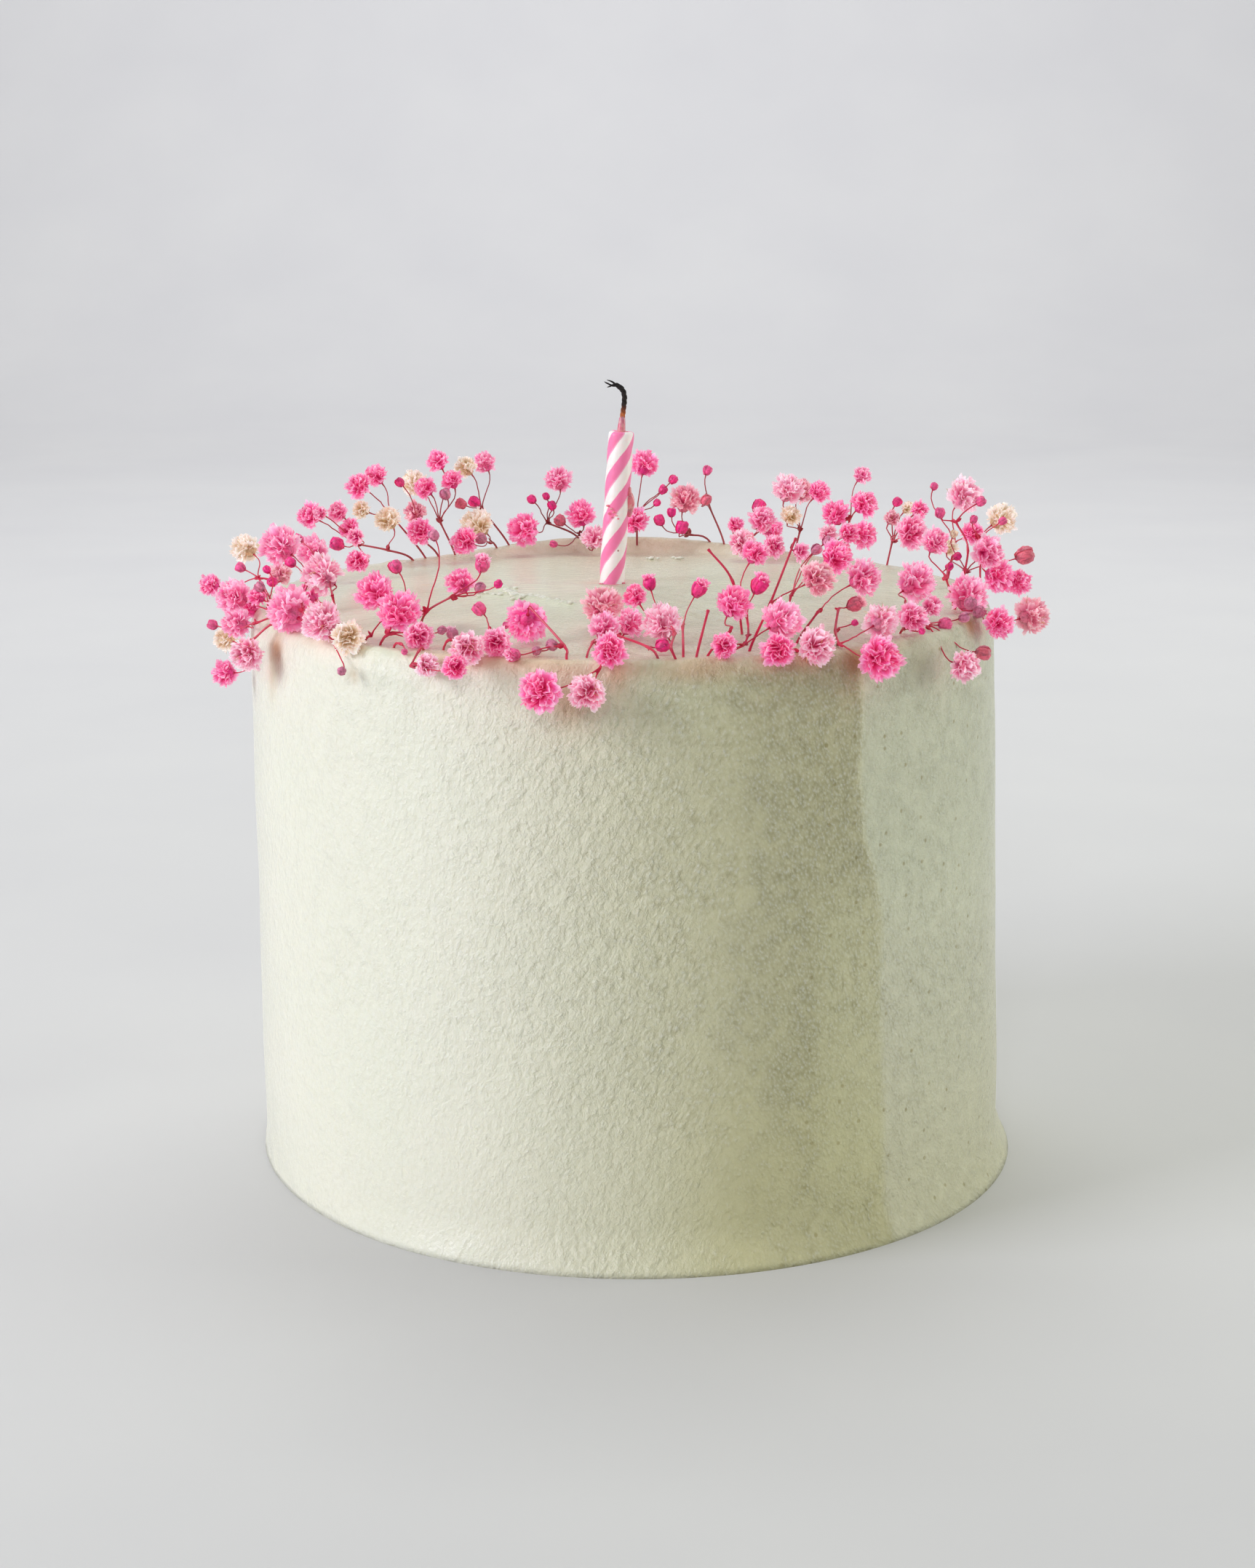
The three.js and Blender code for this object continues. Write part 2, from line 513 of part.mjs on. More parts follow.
function addPiece(name, solid, colour, roughness) {
  const material = new THREE.MeshStandardMaterial({ color: colour, roughness, metalness: 0 });
  const mesh = new THREE.Mesh(geometryOf(solid), material);
  mesh.name = name;
  cakeGroup.add(mesh);
}

const sockets = wasm.Manifold.union([candleSocket(), ...sprigs.map(socketOf)]);
const cake = solidOf(frostedCake()).subtract(sockets).asOriginal().simplify(0.02);
addPiece('cake', cake, colours.frosting, 0.45);
addPiece('candle', candleSolid(), colours.candle, 0.35);
addPiece('wick', wickSolid(), colours.wick, 0.9);
sprigs.forEach((plan, i) => {
  const firstHead = plan.stem.flatMap(({ heads }) => heads)[0];
  const tint = firstHead ? firstHead[0].split(' ')[0] : 'stem';
  addPiece(`sprig_${String(i + 1).padStart(2, '0')}`, sprigSolid(plan), colours[tint], 0.8);
});

export default cakeGroup;
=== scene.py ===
# A round frosted birthday cake with one spiral candle and a wreath of small dried flowers.
# Sizes are in millimetres and meshes in metres, +Z up. The cake stands on z = 0, its front faces -Y.
import math
import random

import bpy
import numpy as np
from mathutils import Euler, Matrix, Vector, noise


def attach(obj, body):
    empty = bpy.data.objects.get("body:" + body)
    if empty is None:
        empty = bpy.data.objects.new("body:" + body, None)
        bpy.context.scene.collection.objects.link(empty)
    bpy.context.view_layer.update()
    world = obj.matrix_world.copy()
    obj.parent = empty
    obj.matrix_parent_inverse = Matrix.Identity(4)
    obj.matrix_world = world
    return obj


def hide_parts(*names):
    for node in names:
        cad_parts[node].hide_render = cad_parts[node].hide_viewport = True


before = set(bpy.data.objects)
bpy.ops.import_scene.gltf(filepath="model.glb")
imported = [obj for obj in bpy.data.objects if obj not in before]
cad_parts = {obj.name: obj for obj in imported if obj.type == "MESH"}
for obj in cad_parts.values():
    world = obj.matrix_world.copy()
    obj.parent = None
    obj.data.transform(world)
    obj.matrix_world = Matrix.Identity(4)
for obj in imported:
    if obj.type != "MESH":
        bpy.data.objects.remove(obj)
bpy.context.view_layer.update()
mm = 0.001
dice = random.Random(7)
print("frame loaded:", len(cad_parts), "nodes")


# Colours, nodes and materials

def linear(code):                          # sRGB hex to linear light
    parts = [int(code[i:i + 2], 16) / 255 for i in (1, 3, 5)]
    return [p / 12.92 if p <= 0.04045 else ((p + 0.055) / 1.055) ** 2.4 for p in parts] + [1.0]


def setInputs(tree, node, inputs):         # a node given as a value stands for its first socket in use
    for socket, value in dict(inputs).items():
        if isinstance(value, bpy.types.Node):
            value = next(output for output in value.outputs if output.enabled)
        if isinstance(value, bpy.types.NodeSocket):
            tree.links.new(value, node.inputs[socket])
        else:
            node.inputs[socket].default_value = value


def addNode(tree, kind, inputs=(), stops=(), **settings):      # stops: a ramp's places and hex colours
    node = tree.nodes.new("ShaderNode" + kind)
    for name, value in settings.items():
        setattr(node, name, value)
    setInputs(tree, node, inputs)
    if stops:
        edges = node.color_ramp.elements
        while len(edges) < len(stops):
            edges.new(0.5)
        for edge, (place, code) in zip(edges, stops):
            edge.position = place
            edge.color = linear(code)
    return node


def newMaterial(name, **surface):          # also gives the socket of Object coordinates
    material = bpy.data.materials.new(name)
    material.use_nodes = True
    tree = material.node_tree
    shader = tree.nodes["Principled BSDF"]
    setInputs(tree, shader, {socket.replace("_", " "): value for socket, value in surface.items()})
    return material, tree, shader, addNode(tree, "TexCoord").outputs["Object"]


# Mesh helpers

def selectOnly(piece):
    bpy.ops.object.select_all(action="DESELECT")
    piece.select_set(True)
    bpy.context.view_layer.objects.active = piece


def readPoints(piece):
    points = np.empty(len(piece.data.vertices) * 3)
    piece.data.vertices.foreach_get("co", points)
    return points.reshape(-1, 3) / mm


def writePoints(piece, points):
    piece.data.vertices.foreach_set("co", (points * mm).ravel())
    piece.data.update()


def readNormals(piece):
    normals = np.empty(len(piece.data.vertices) * 3)
    piece.data.vertex_normals.foreach_get("vector", normals)
    return normals.reshape(-1, 3)


def writeAttribute(piece, name, values, kind="FLOAT"):
    attribute = piece.data.attributes.new(name, kind, "POINT")
    field = "value" if kind == "FLOAT" else "color"
    attribute.data.foreach_set(field, np.asarray(values, np.float32).ravel())


def smoothShade(piece, degrees=None):
    selectOnly(piece)
    if degrees is None:
        bpy.ops.object.shade_smooth()
    else:
        bpy.ops.object.shade_smooth_by_angle(angle=math.radians(degrees))


def joinPieces(first, *others):
    selectOnly(first)
    for piece in others:
        piece.select_set(True)
    bpy.ops.object.join()
    return bpy.context.object


def roughBall(subdivisions, wild, size, seed):     # a 1 mm ball, and where noise moves its points
    bpy.ops.object.select_all(action="DESELECT")
    bpy.ops.mesh.primitive_ico_sphere_add(subdivisions=subdivisions, radius=mm)
    ball = bpy.context.object
    points = readPoints(ball)
    return ball, points * (1 + wild * noiseAt(points, size, seed))[:, None]


def drawProfile(name, profile):            # a chain of points in the XZ plane, drawn by extruding
    bpy.ops.object.select_all(action="DESELECT")
    bpy.ops.mesh.primitive_plane_add(size=mm)
    piece = bpy.context.object
    piece.name = piece.data.name = name
    bpy.ops.object.mode_set(mode="EDIT")
    bpy.ops.mesh.merge(type="CENTER")
    steps = [(0, 0), *profile]
    for (x0, z0), (x1, z1) in zip(steps, steps[1:]):
        step = ((x1 - x0) * mm, 0, (z1 - z0) * mm)
        if steps[1] == (x1, z1):
            bpy.ops.transform.translate(value=step)
        else:
            bpy.ops.mesh.extrude_vertices_move(TRANSFORM_OT_translate={"value": step})
    bpy.ops.object.mode_set(mode="OBJECT")
    return piece


def turnProfile(piece, segments):          # a lathe, closed at its poles
    screw = piece.modifiers.new("turn", "SCREW")
    screw.steps = screw.render_steps = segments
    screw.use_merge_vertices = True
    screw.merge_threshold = 0.01 * mm
    selectOnly(piece)
    bpy.ops.object.modifier_apply(modifier="turn")
    bpy.ops.object.mode_set(mode="EDIT")
    bpy.ops.mesh.select_all(action="SELECT")
    bpy.ops.mesh.remove_doubles(threshold=0.002 * mm)
    bpy.ops.mesh.normals_make_consistent(inside=False)
    bpy.ops.object.mode_set(mode="OBJECT")


def noiseAt(points, size, seed=0):         # smooth noise from -1 to 1, with features of about size mm
    shift = Vector((seed * 17.3, seed * 5.9, seed * 11.1))
    return np.array([noise.noise(Vector(p) / size + shift) for p in points])


def bump(value, middle, width):
    return np.exp(-(((value - middle) / width) ** 2))


def ease(value, low, high):
    t = np.clip((value - low) / (high - low), 0, 1)
    return t * t * (3 - 2 * t)


def smoothPath(corners, spacing):          # an even curve through the corners
    corners = [Vector(corner) for corner in corners]
    ends = [corners[0] * 2 - corners[1], *corners, corners[-1] * 2 - corners[-2]]
    path = []
    for a, b, c, d in zip(ends, ends[1:], ends[2:], ends[3:]):
        count = max(1, round((c - b).length / spacing))
        for i in range(count):
            t = i / count
            bend = (b * 3 - a - c * 3 + d) * t ** 3 + (a * 2 - b * 5 + c * 4 - d) * t * t
            path.append((b * 2 + (c - a) * t + bend) * 0.5)
    return [*path, corners[-1]]


# Camera

camera = {"place": (-0.63, -625, 226.2), "down": 12.88, "roll": 0.254, "focal": 3881, "frameHeight": 2156}
lens = bpy.data.cameras.new("camera")
lens.lens = camera["focal"] * lens.sensor_width / camera["frameHeight"]
lens.clip_start = 0.02
cameraObject = bpy.data.objects.new("camera", lens)
cameraObject.rotation_euler = (
    Euler((math.radians(90 - camera["down"]), 0, 0)).to_matrix()
    @ Euler((0, 0, math.radians(-camera["roll"]))).to_matrix()).to_euler()
cameraObject.location = Vector(camera["place"]) * mm
bpy.context.scene.collection.objects.link(cameraObject)
bpy.context.scene.camera = cameraObject


# Floor and light: a pale seamless sweep, a large soft key from the left, weak light from the right

floorPlan = {"size": 7000, "cells": 56, "bendStart": 1500, "bendRadius": 600, "colour": "#dedede",
             "mottle": "#dadadb"}
lights = [                                 # name, place, aim, size, watts, colour
    ("key", (-1150, -480, 560), (0, 0, 90), 620, 11.1, "#f4f4ff"),
    ("side", (1250, 120, 380), (0, 0, 80), 700, 5.3, "#fbfff8"),
    ("overhead", (60, 380, 1300), (0, 0, 125), 800, 4.3, "#fbfffa"),
    ("window", (-230, -1660, 980), (0, 0, 90), 200, 3.5, "#f6fbff"),
    ("backdrop", (0, 1000, 1500), (0, 2100, 500), 1400, 15, "#f6f6ff"),
]
roomLight = {"colour": "#fffef4", "strength": 0.31}

bpy.ops.object.select_all(action="DESELECT")
bpy.ops.mesh.primitive_grid_add(x_subdivisions=floorPlan["cells"], y_subdivisions=floorPlan["cells"],
                                size=floorPlan["size"] * mm)
floor = bpy.context.object
floor.name = floor.data.name = "floor"
points = readPoints(floor)
past = np.maximum(points[:, 1] - floorPlan["bendStart"], 0)
turn = np.minimum(past / floorPlan["bendRadius"], math.pi / 2)
points[:, 1] = np.minimum(points[:, 1], floorPlan["bendStart"]) + floorPlan["bendRadius"] * np.sin(turn)
points[:, 2] = (floorPlan["bendRadius"] * (1 - np.cos(turn))
                + np.maximum(past - floorPlan["bendRadius"] * math.pi / 2, 0))
writePoints(floor, points)
smoothShade(floor)

# Painted board: matt, with a faint roller mottle
paper, tree, shader, place = newMaterial("paintedBoard", Roughness=0.7)
mottle = addNode(tree, "TexNoise", {"Vector": place, "Scale": 9.0, "Detail": 3.0})
setInputs(tree, shader, {"Base Color": addNode(
    tree, "ValToRGB", {"Fac": mottle}, [(0.3, floorPlan["mottle"]), (0.7, floorPlan["colour"])])})
floor.data.materials.append(paper)

for name, spot, aim, size, watts, colour in lights:
    lamp = bpy.data.lights.new(name, "AREA")
    lamp.size = size * mm
    lamp.energy = watts
    lamp.color = linear(colour)[:3]
    lampObject = bpy.data.objects.new(name, lamp)
    lampObject.location = Vector(spot) * mm
    lampObject.rotation_euler = (Vector(aim) - Vector(spot)).to_track_quat("-Z", "Y").to_euler()
    bpy.context.scene.collection.objects.link(lampObject)

world = bpy.data.worlds.new("studio")
world.use_nodes = True
setInputs(world.node_tree, world.node_tree.nodes["Background"], {
    "Color": linear(roomLight["colour"]), "Strength": roomLight["strength"]})
bpy.context.scene.world = world
bpy.context.scene.view_settings.view_transform = "Standard"
print("camera, floor and lights")


# Frosting

frosting = {
    "height": 125, "topRadius": 82.7, "baseRadius": 84.2, "lean": 0.0141, "shoulder": 4.5,
    "dome": 3, "lip": 0.8, "backLip": 3, "footHeight": 9, "footSpread": 2.9, "frontSpread": 1,
    "crispRim": 1.0, "segments": 480, "wallStep": 1.25, "shoulderSteps": 10, "topStep": 1.5,
    # the scraper's last edge, as azimuth and height
    "seam": [(24, 39), (56, 38.5), (70, 39), (78, 38), (87, 36), (100, 35.5), (118, 36), (125, 36)],
    # a spatula's ridge on the top
    "ridge": [(-29, 3), (-27, -3), (-24.1, -11), (-19.7, -13.2), (-16, -19.8), (-13, -21.5)],
    "crumbs": [(-28, 0), (-32, -7), (-24, -12), (5, 52), (11, 53)],
    # lumps and dents: x, y, z, width, height, rise
    "lumps": [
        (-51, -66, 122, 4.5, 2.2, 0.9), (-56.4, -62, 120, 2.6, 2.6, -0.7), (-45, -70.5, 121, 3, 1.6, 0.4),
        (-74.7, -39, 118, 2.2, 5, -0.5), (5, 52, 128, 1.3, 1.3, 0.5), (11, 53, 128, 1.1, 1.1, 0.4),
        (-2.4, -81.5, 123, 2.5, 3, 0.35), (-28, 0, 128, 1.8, 1.8, 0.5), (-31, -8, 128, 2.4, 1.6, 0.45),
        (45, -66, 122, 4, 3, -0.4), (-20, -30, 128, 6, 4, 0.25), (34, -6, 128, 9, 5, 0.25),
        (62, -54, 123, 5, 3, 0.4), (-60, 20, 128, 8, 6, 0.3), (14, 30, 128, 10, 5, -0.25)],
    # dye and grease from the flowers, and one painted shadow in a dent: x, y, z, width, height, hex,
    # strength
    "stains": [
        (-74.7, -38.8, 121.4, 3.2, 3.2, "#c98a55", 0.8), (-75.9, -36.2, 115.5, 2.6, 5, "#cbb28a", 0.5),
        (45.1, -66.5, 123.5, 3, 2.6, "#c07c45", 0.8), (44, -68, 120, 3, 5, "#b9a27c", 0.4),
        (71.1, -33.8, 124.6, 2.6, 2, "#d98d58", 0.8), (-2.4, -81, 123.2, 3, 3.2, "#dfb08c", 0.6),
        (-12.2, -81.8, 118.5, 4, 5, "#bf9c72", 0.7), (-33, -71.2, 125.1, 9, 1.6, "#eab89a", 0.6),
        (-18.3, -77.8, 124.9, 9, 1.8, "#e8b592", 0.55), (13.2, -79.8, 124, 9, 1.8, "#e6b08a", 0.55),
        (33.6, -72.5, 124.2, 7, 1.8, "#e9b392", 0.5), (59.2, -55.8, 121.2, 3.5, 3.5, "#b7ab8a", 0.5),
        # the tan spot at (-56.1, -62) is painted shade in the dent beside the lump under the rim
        (52, -62, 124.5, 5, 1.6, "#e8bb9a", 0.5), (-56.1, -62, 120.4, 1.6, 1.6, "#b89a6c", 0.5),
        (4, 76, 128, 26, 3, "#d8bc98", 0.5), (-60, -50, 125, 8, 2, "#efcdb4", 0.4),
        (-4, 8, 128, 4.2, 2, "#efb99c", 0.55), (40, 62, 127, 12, 3, "#e3bfa4", 0.4),
        (-45, 60, 127, 12, 3, "#e6c6ac", 0.4), (74, 5, 125.5, 2.5, 10, "#e7c0a0", 0.3)],
}


def azimuth(x, y):                         # degrees from the front towards +X
    return np.degrees(np.arctan2(x, -y))


def wallRadius(z, angle):
    taper = (frosting["baseRadius"] - frosting["topRadius"]) * (np.maximum(z - 20, 0) / 97) ** 1.1
    spread = (frosting["footSpread"] * (1 - bump(angle, -66, 34))
              + frosting["frontSpread"] * bump(angle, 20, 34))
    return frosting["baseRadius"] - taper + spread * np.maximum(1 - z / frosting["footHeight"], 0) ** 1.6


def rimLip(radius, angle):
    rise = frosting["lip"] + frosting["backLip"] * bump(np.abs(angle), 180, 24)
    return rise * bump(radius, frosting["topRadius"] - frosting["shoulder"], 3.5)


def domeAt(radius):
    flat = frosting["topRadius"] - frosting["shoulder"]
    return frosting["dome"] * (1 - (np.minimum(radius, flat) / 80) ** 2)


def topHeight(x, y):
    radius = math.hypot(x + frosting["lean"] * frosting["height"], y)
    past = max(0, radius - frosting["topRadius"] + frosting["shoulder"])
    rounding = frosting["shoulder"] - math.sqrt(max(0, frosting["shoulder"] ** 2 - past ** 2))
    return float(frosting["height"] + domeAt(radius) - rounding + rimLip(radius, azimuth(x, y)))


def frostingProfile():
    top, radius, rounding = frosting["height"], frosting["topRadius"], frosting["shoulder"]
    flat = radius - rounding
    rows = round((top - rounding) / frosting["wallStep"])
    rings = round(flat / frosting["topStep"])
    wall = [(radius, (top - rounding) * i / rows) for i in range(rows + 1)]
    turns = [math.pi / 2 * i / frosting["shoulderSteps"] for i in range(1, frosting["shoulderSteps"] + 1)]
    corner = [(flat + rounding * math.cos(turn), top - rounding * (1 - math.sin(turn))) for turn in turns]
    inward = [(flat * (1 - i / rings), top) for i in range(1, rings + 1)]
    return [(0, 0), (40, 0), (75, 0), *wall, *corner, *inward]


def ridgeRise(x, y):                       # height of the spatula's ridge at each point
    nearest = np.full(len(x), 99.0)
    for (x0, y0), (x1, y1) in zip(frosting["ridge"], frosting["ridge"][1:]):
        dx, dy = x1 - x0, y1 - y0
        t = np.clip(((x - x0) * dx + (y - y0) * dy) / (dx * dx + dy * dy), 0, 1)
        nearest = np.minimum(nearest, np.hypot(x - x0 - t * dx, y - y0 - t * dy))
    return bump(nearest, 0, 1.1)


def seamSide(z, angle):                    # 0 left of the scraper's edge, 1 right of it
    heights, angles = zip(*frosting["seam"])
    return ease(angle - np.interp(z, heights, angles), -0.9, 0.9) * (1 - ease(angle, 72, 120))


def buildFrosting():
    piece = drawProfile("frosting", frostingProfile())
    turnProfile(piece, frosting["segments"])
    x, y, z = readPoints(piece).T
    radius, angle = np.hypot(x, y), azimuth(x, y)
    onWall = radius > frosting["topRadius"] - frosting["shoulder"] + 0.01
    outward = radius - frosting["topRadius"] + wallRadius(z, angle)
    grow = np.where(onWall, outward / np.maximum(radius, 1), 1)
    x, y = x * grow, y * grow
    onTop = z > frosting["height"] - frosting["shoulder"]
    z = z + np.where(onTop, domeAt(radius) + rimLip(radius, angle), 0)
    x = x - frosting["lean"] * z
    points = np.stack([x, y, z], 1)
    writePoints(piece, points)
    normals = readNormals(piece)
    flatness = ease(normals[:, 2], 0.5, 0.95)

    # where the scraper went: right of its last edge, along that edge, and the strip scraped beside it
    side = seamSide(z, angle)
    seam = side * (1 - flatness) * (0.3 + 0.7 * ease(z, 50, 84)) * ease(z, 4, 50)
    scraped = ease(angle, 25, 30) * (1 - side) * (angle < 60) * ease(z, 4, 24) * (1 - ease(z, 66, 86))
    shown = 1 - ease(np.abs(angle), 70, 140)
    slanted = np.stack([angle * 1.46 - 0.4 * z * np.sign(25 - angle), 0.65 * z, 0 * z], 1)

    # slow waves, slanting strokes on the wall, strokes on the top, and the step at the scraper's edge
    rise = 0.3 * noiseAt(points, 26, 1) + 0.06 * noiseAt(points, 8, 2)
    rise += (1 - flatness) * 0.05 * noiseAt(slanted, 3, 3) * ease(np.abs(angle + 100), 30, 75)
    rise += 0.12 * flatness * noiseAt(points * (1, 2.2, 1), 3.2, 4)
    rise -= 0.25 * seam * (1 - ease(angle, 48, 75))
    # the crisp rim, the spatula's ridge, the ragged lip and its crest, the uneven foot, lumps and dents
    crisp = bump(normals[:, 2], 0.72, 0.32) * (z > 100) * (0.5 + 0.5 * bump(angle, 22, 38))
    rise += frosting["crispRim"] * crisp
    rise += 0.9 * ridgeRise(x, y) * flatness * (0.75 + 0.5 * noiseAt(points, 2, 5))
    lip = bump(radius, frosting["topRadius"] - 3.5, 3)
    rise += lip * (z > 110) * (0.45 * noiseAt(points, 9, 6) + 0.2 * noiseAt(points, 3, 7))
    crest = bump(radius, frosting["topRadius"] - 2.3, 1.0) * (z > 110) * (1 - ease(np.abs(angle), 120, 160))
    rise += crest * (0.55 + 0.5 * noiseAt(points, 5, 13))
    foot = np.maximum(1 - z / 8, 0) * (z > 0.5)
    rise += foot * (0.45 * noiseAt(points, 7, 8) + 0.2 * noiseAt(points, 2.5, 9))
    for lx, ly, lz, across, tall, height in frosting["lumps"]:
        rise += height * bump(np.hypot(x - lx, y - ly), 0, across) * bump(z, lz, tall + 2 * flatness)
    points = points + normals * (rise * (z > 0.01))[:, None]
    writePoints(piece, points)

    # pebbles are strongest in front, finer past the scraper's edge, and fade at the far left
    grain = 0.1 + 0.24 * ease(angle, -72, -42) + 0.66 * ease(angle, -34, 22)
    grain += 0.45 * ease(-angle, 110, 160) - 0.45 * ease(angle, 60, 160)
    grain += 0.3 * ease(angle, 8, 30) * shown - 0.25 * side
    grain *= 0.6 + 0.4 * ease(z, 12, 60) + 0.12 * noiseAt(points, 26, 10)
    for share, where in ((0.3, seam), (0.35, flatness), (0.25, scraped)):
        grain *= 1 - share * where
    slant = ease(angle + 9 * noiseAt(points, 14, 14), 9, 21) + ease(-angle, 130, 140)
    writeAttribute(piece, "grain", np.clip(grain, 0.05, 2))
    writeAttribute(piece, "slant", slant)
    writeAttribute(piece, "fine", np.clip(seam + 0.8 * flatness + 0.3 * scraped, 0, 1))
    # stains mix by their strength, each with a ragged edge
    stain = np.zeros((len(x), 4))
    edge = 1 + 0.35 * noiseAt(points, 2.2, 12)
    for sx, sy, sz, across, tall, code, strength in frosting["stains"]:
        amount = strength * bump(np.hypot(x - sx, y - sy) * edge, 0, across)
        amount *= bump(z, sz, tall + 1.5 * flatness)
        stain[:, :3] += amount[:, None] * np.array(linear(code)[:3])
        stain[:, 3] += amount
    stain[:, :3] /= np.maximum(stain[:, 3:], 1e-4)
    stain[:, 3] = np.clip(stain[:, 3], 0, 0.85)
    writeAttribute(piece, "stainColour", np.c_[stain[:, :3], np.ones(len(x))], "FLOAT_COLOR")
    writeAttribute(piece, "stain", stain[:, 3])
    # painted shade: the ivory is darker and yellower round the right of the front, away from the key light,
    # and low on the front's right, less past the scraper's edge and further round, with a third of it on the
    # top; pits of burst air lie round the right of the front
    paintedShade = ease(angle, -32, 31) * (1 - ease(angle, 66, 120)) * (1 - 0.45 * side)
    paintedShade += (0.22 * ease(angle, 0, 16) * (1 - ease(z, 4, 60)) - 0.12 * ease(angle, 20, 40)) * shown
    writeAttribute(piece, "pitted", ease(angle, 12, 30) * (1 - ease(angle, 90, 130)))
    writeAttribute(piece, "paintedShade", paintedShade * (1 - flatness) + 0.35 * flatness)
    wrapCoordinates(piece, points)
    smoothShade(piece)
    return piece


def wrapCoordinates(piece, points):        # UV in mm round the wall and up it, with its seam at the back
    corners = np.empty(len(piece.data.loops), int)
    piece.data.loops.foreach_get("vertex_index", corners)
    starts = np.empty(len(piece.data.polygons), int)
    sizes = np.empty(len(piece.data.polygons), int)
    piece.data.polygons.foreach_get("loop_start", starts)
    piece.data.polygons.foreach_get("loop_total", sizes)
    faceOf = np.repeat(np.arange(len(starts)), sizes)
    angle = azimuth(points[:, 0] + frosting["lean"] * points[:, 2], points[:, 1])[corners]
    highest = np.maximum.reduceat(angle, starts)[faceOf]
    lowest = np.minimum.reduceat(angle, starts)[faceOf]
    angle = np.where((highest - lowest > 180) & (angle < 0), angle + 360, angle)
    around = np.radians(angle) * frosting["baseRadius"]
    layer = piece.data.uv_layers.new(name="wall")
    layer.data.foreach_set("uv", np.stack([around, points[corners, 2]], 1).astype(np.float32).ravel())


# Buttercream: fat and sugar spread with a scraper. It is ivory and a little translucent, with a soft greasy
# gloss on small slanted pebbles, painted shade in their dips and a painted highlight on their crests, a few
# pits of burst air drawn as painted shade, and painted shade round the right of the front. Pebbles are drawn
# at their real size in mm, the sugar's grit as coarse as it needs to be to show.
buttercream = {
    "pebble": (0.95, 1.25), "finePebble": (0.65, 0.95), "leanLeft": 27, "leanRight": -24, "pebbleDepth": 1.0,
    "grit": 0.25, "gritDepth": 0.08, "pitsPerMm": 0.15, "pitsKept": 0.45,
    # the low colour is painted shade in the pebbles' dips, the crest colour a painted highlight on their
    # crests, the shade colour painted shade round the right of the front, and the pit colour painted shade
    # in the pits
    "high": "#edeedc", "warm": "#f0efde", "low": "#d4ceb0", "crest": "#fafaec", "smooth": "#fbffff",
    "paintedShade": "#ddd9ab", "paintedPitShade": "#a89a5c",
}


def pebbleLayer(tree, surface, size, lean, seed):      # relief and, for the painted shade and highlight, its dips
    turned = addNode(tree, "Mapping", {
        "Vector": surface, "Rotation": (0, 0, math.radians(lean)), "Location": (seed, seed * 2, 0)})
    squeezed = addNode(tree, "Mapping", {"Vector": turned, "Scale": (1 / size[0], 1 / size[1], 1)})
    cells = addNode(tree, "TexVoronoi", {
        "Vector": squeezed, "Scale": 1.0, "Smoothness": 0.4, "Randomness": 1.0},
        feature="SMOOTH_F1", voronoi_dimensions="2D")
    crumbs = addNode(tree, "TexNoise", {
        "Vector": squeezed, "Scale": 0.8, "Detail": 4.0, "Roughness": 0.68}, noise_dimensions="2D")
    lumps = addNode(tree, "TexNoise", {
        "Vector": squeezed, "Scale": 0.42, "Detail": 1.0}, noise_dimensions="2D")
    broad = addNode(tree, "Math", {0: lumps, 1: 0.7, 2: -0.35}, operation="MULTIPLY_ADD")
    broken = addNode(tree, "Math", {0: crumbs, 1: 0.95, 2: broad}, operation="MULTIPLY_ADD")
    relief = addNode(tree, "Math", {0: cells, 1: -0.22, 2: broken}, operation="MULTIPLY_ADD")
    dips = addNode(tree, "Math", {0: cells, 1: 0.75, 2: 0.65}, operation="MULTIPLY_ADD")
    return relief, addNode(tree, "Math", {0: crumbs, 1: -1.1, 2: dips}, operation="MULTIPLY_ADD")


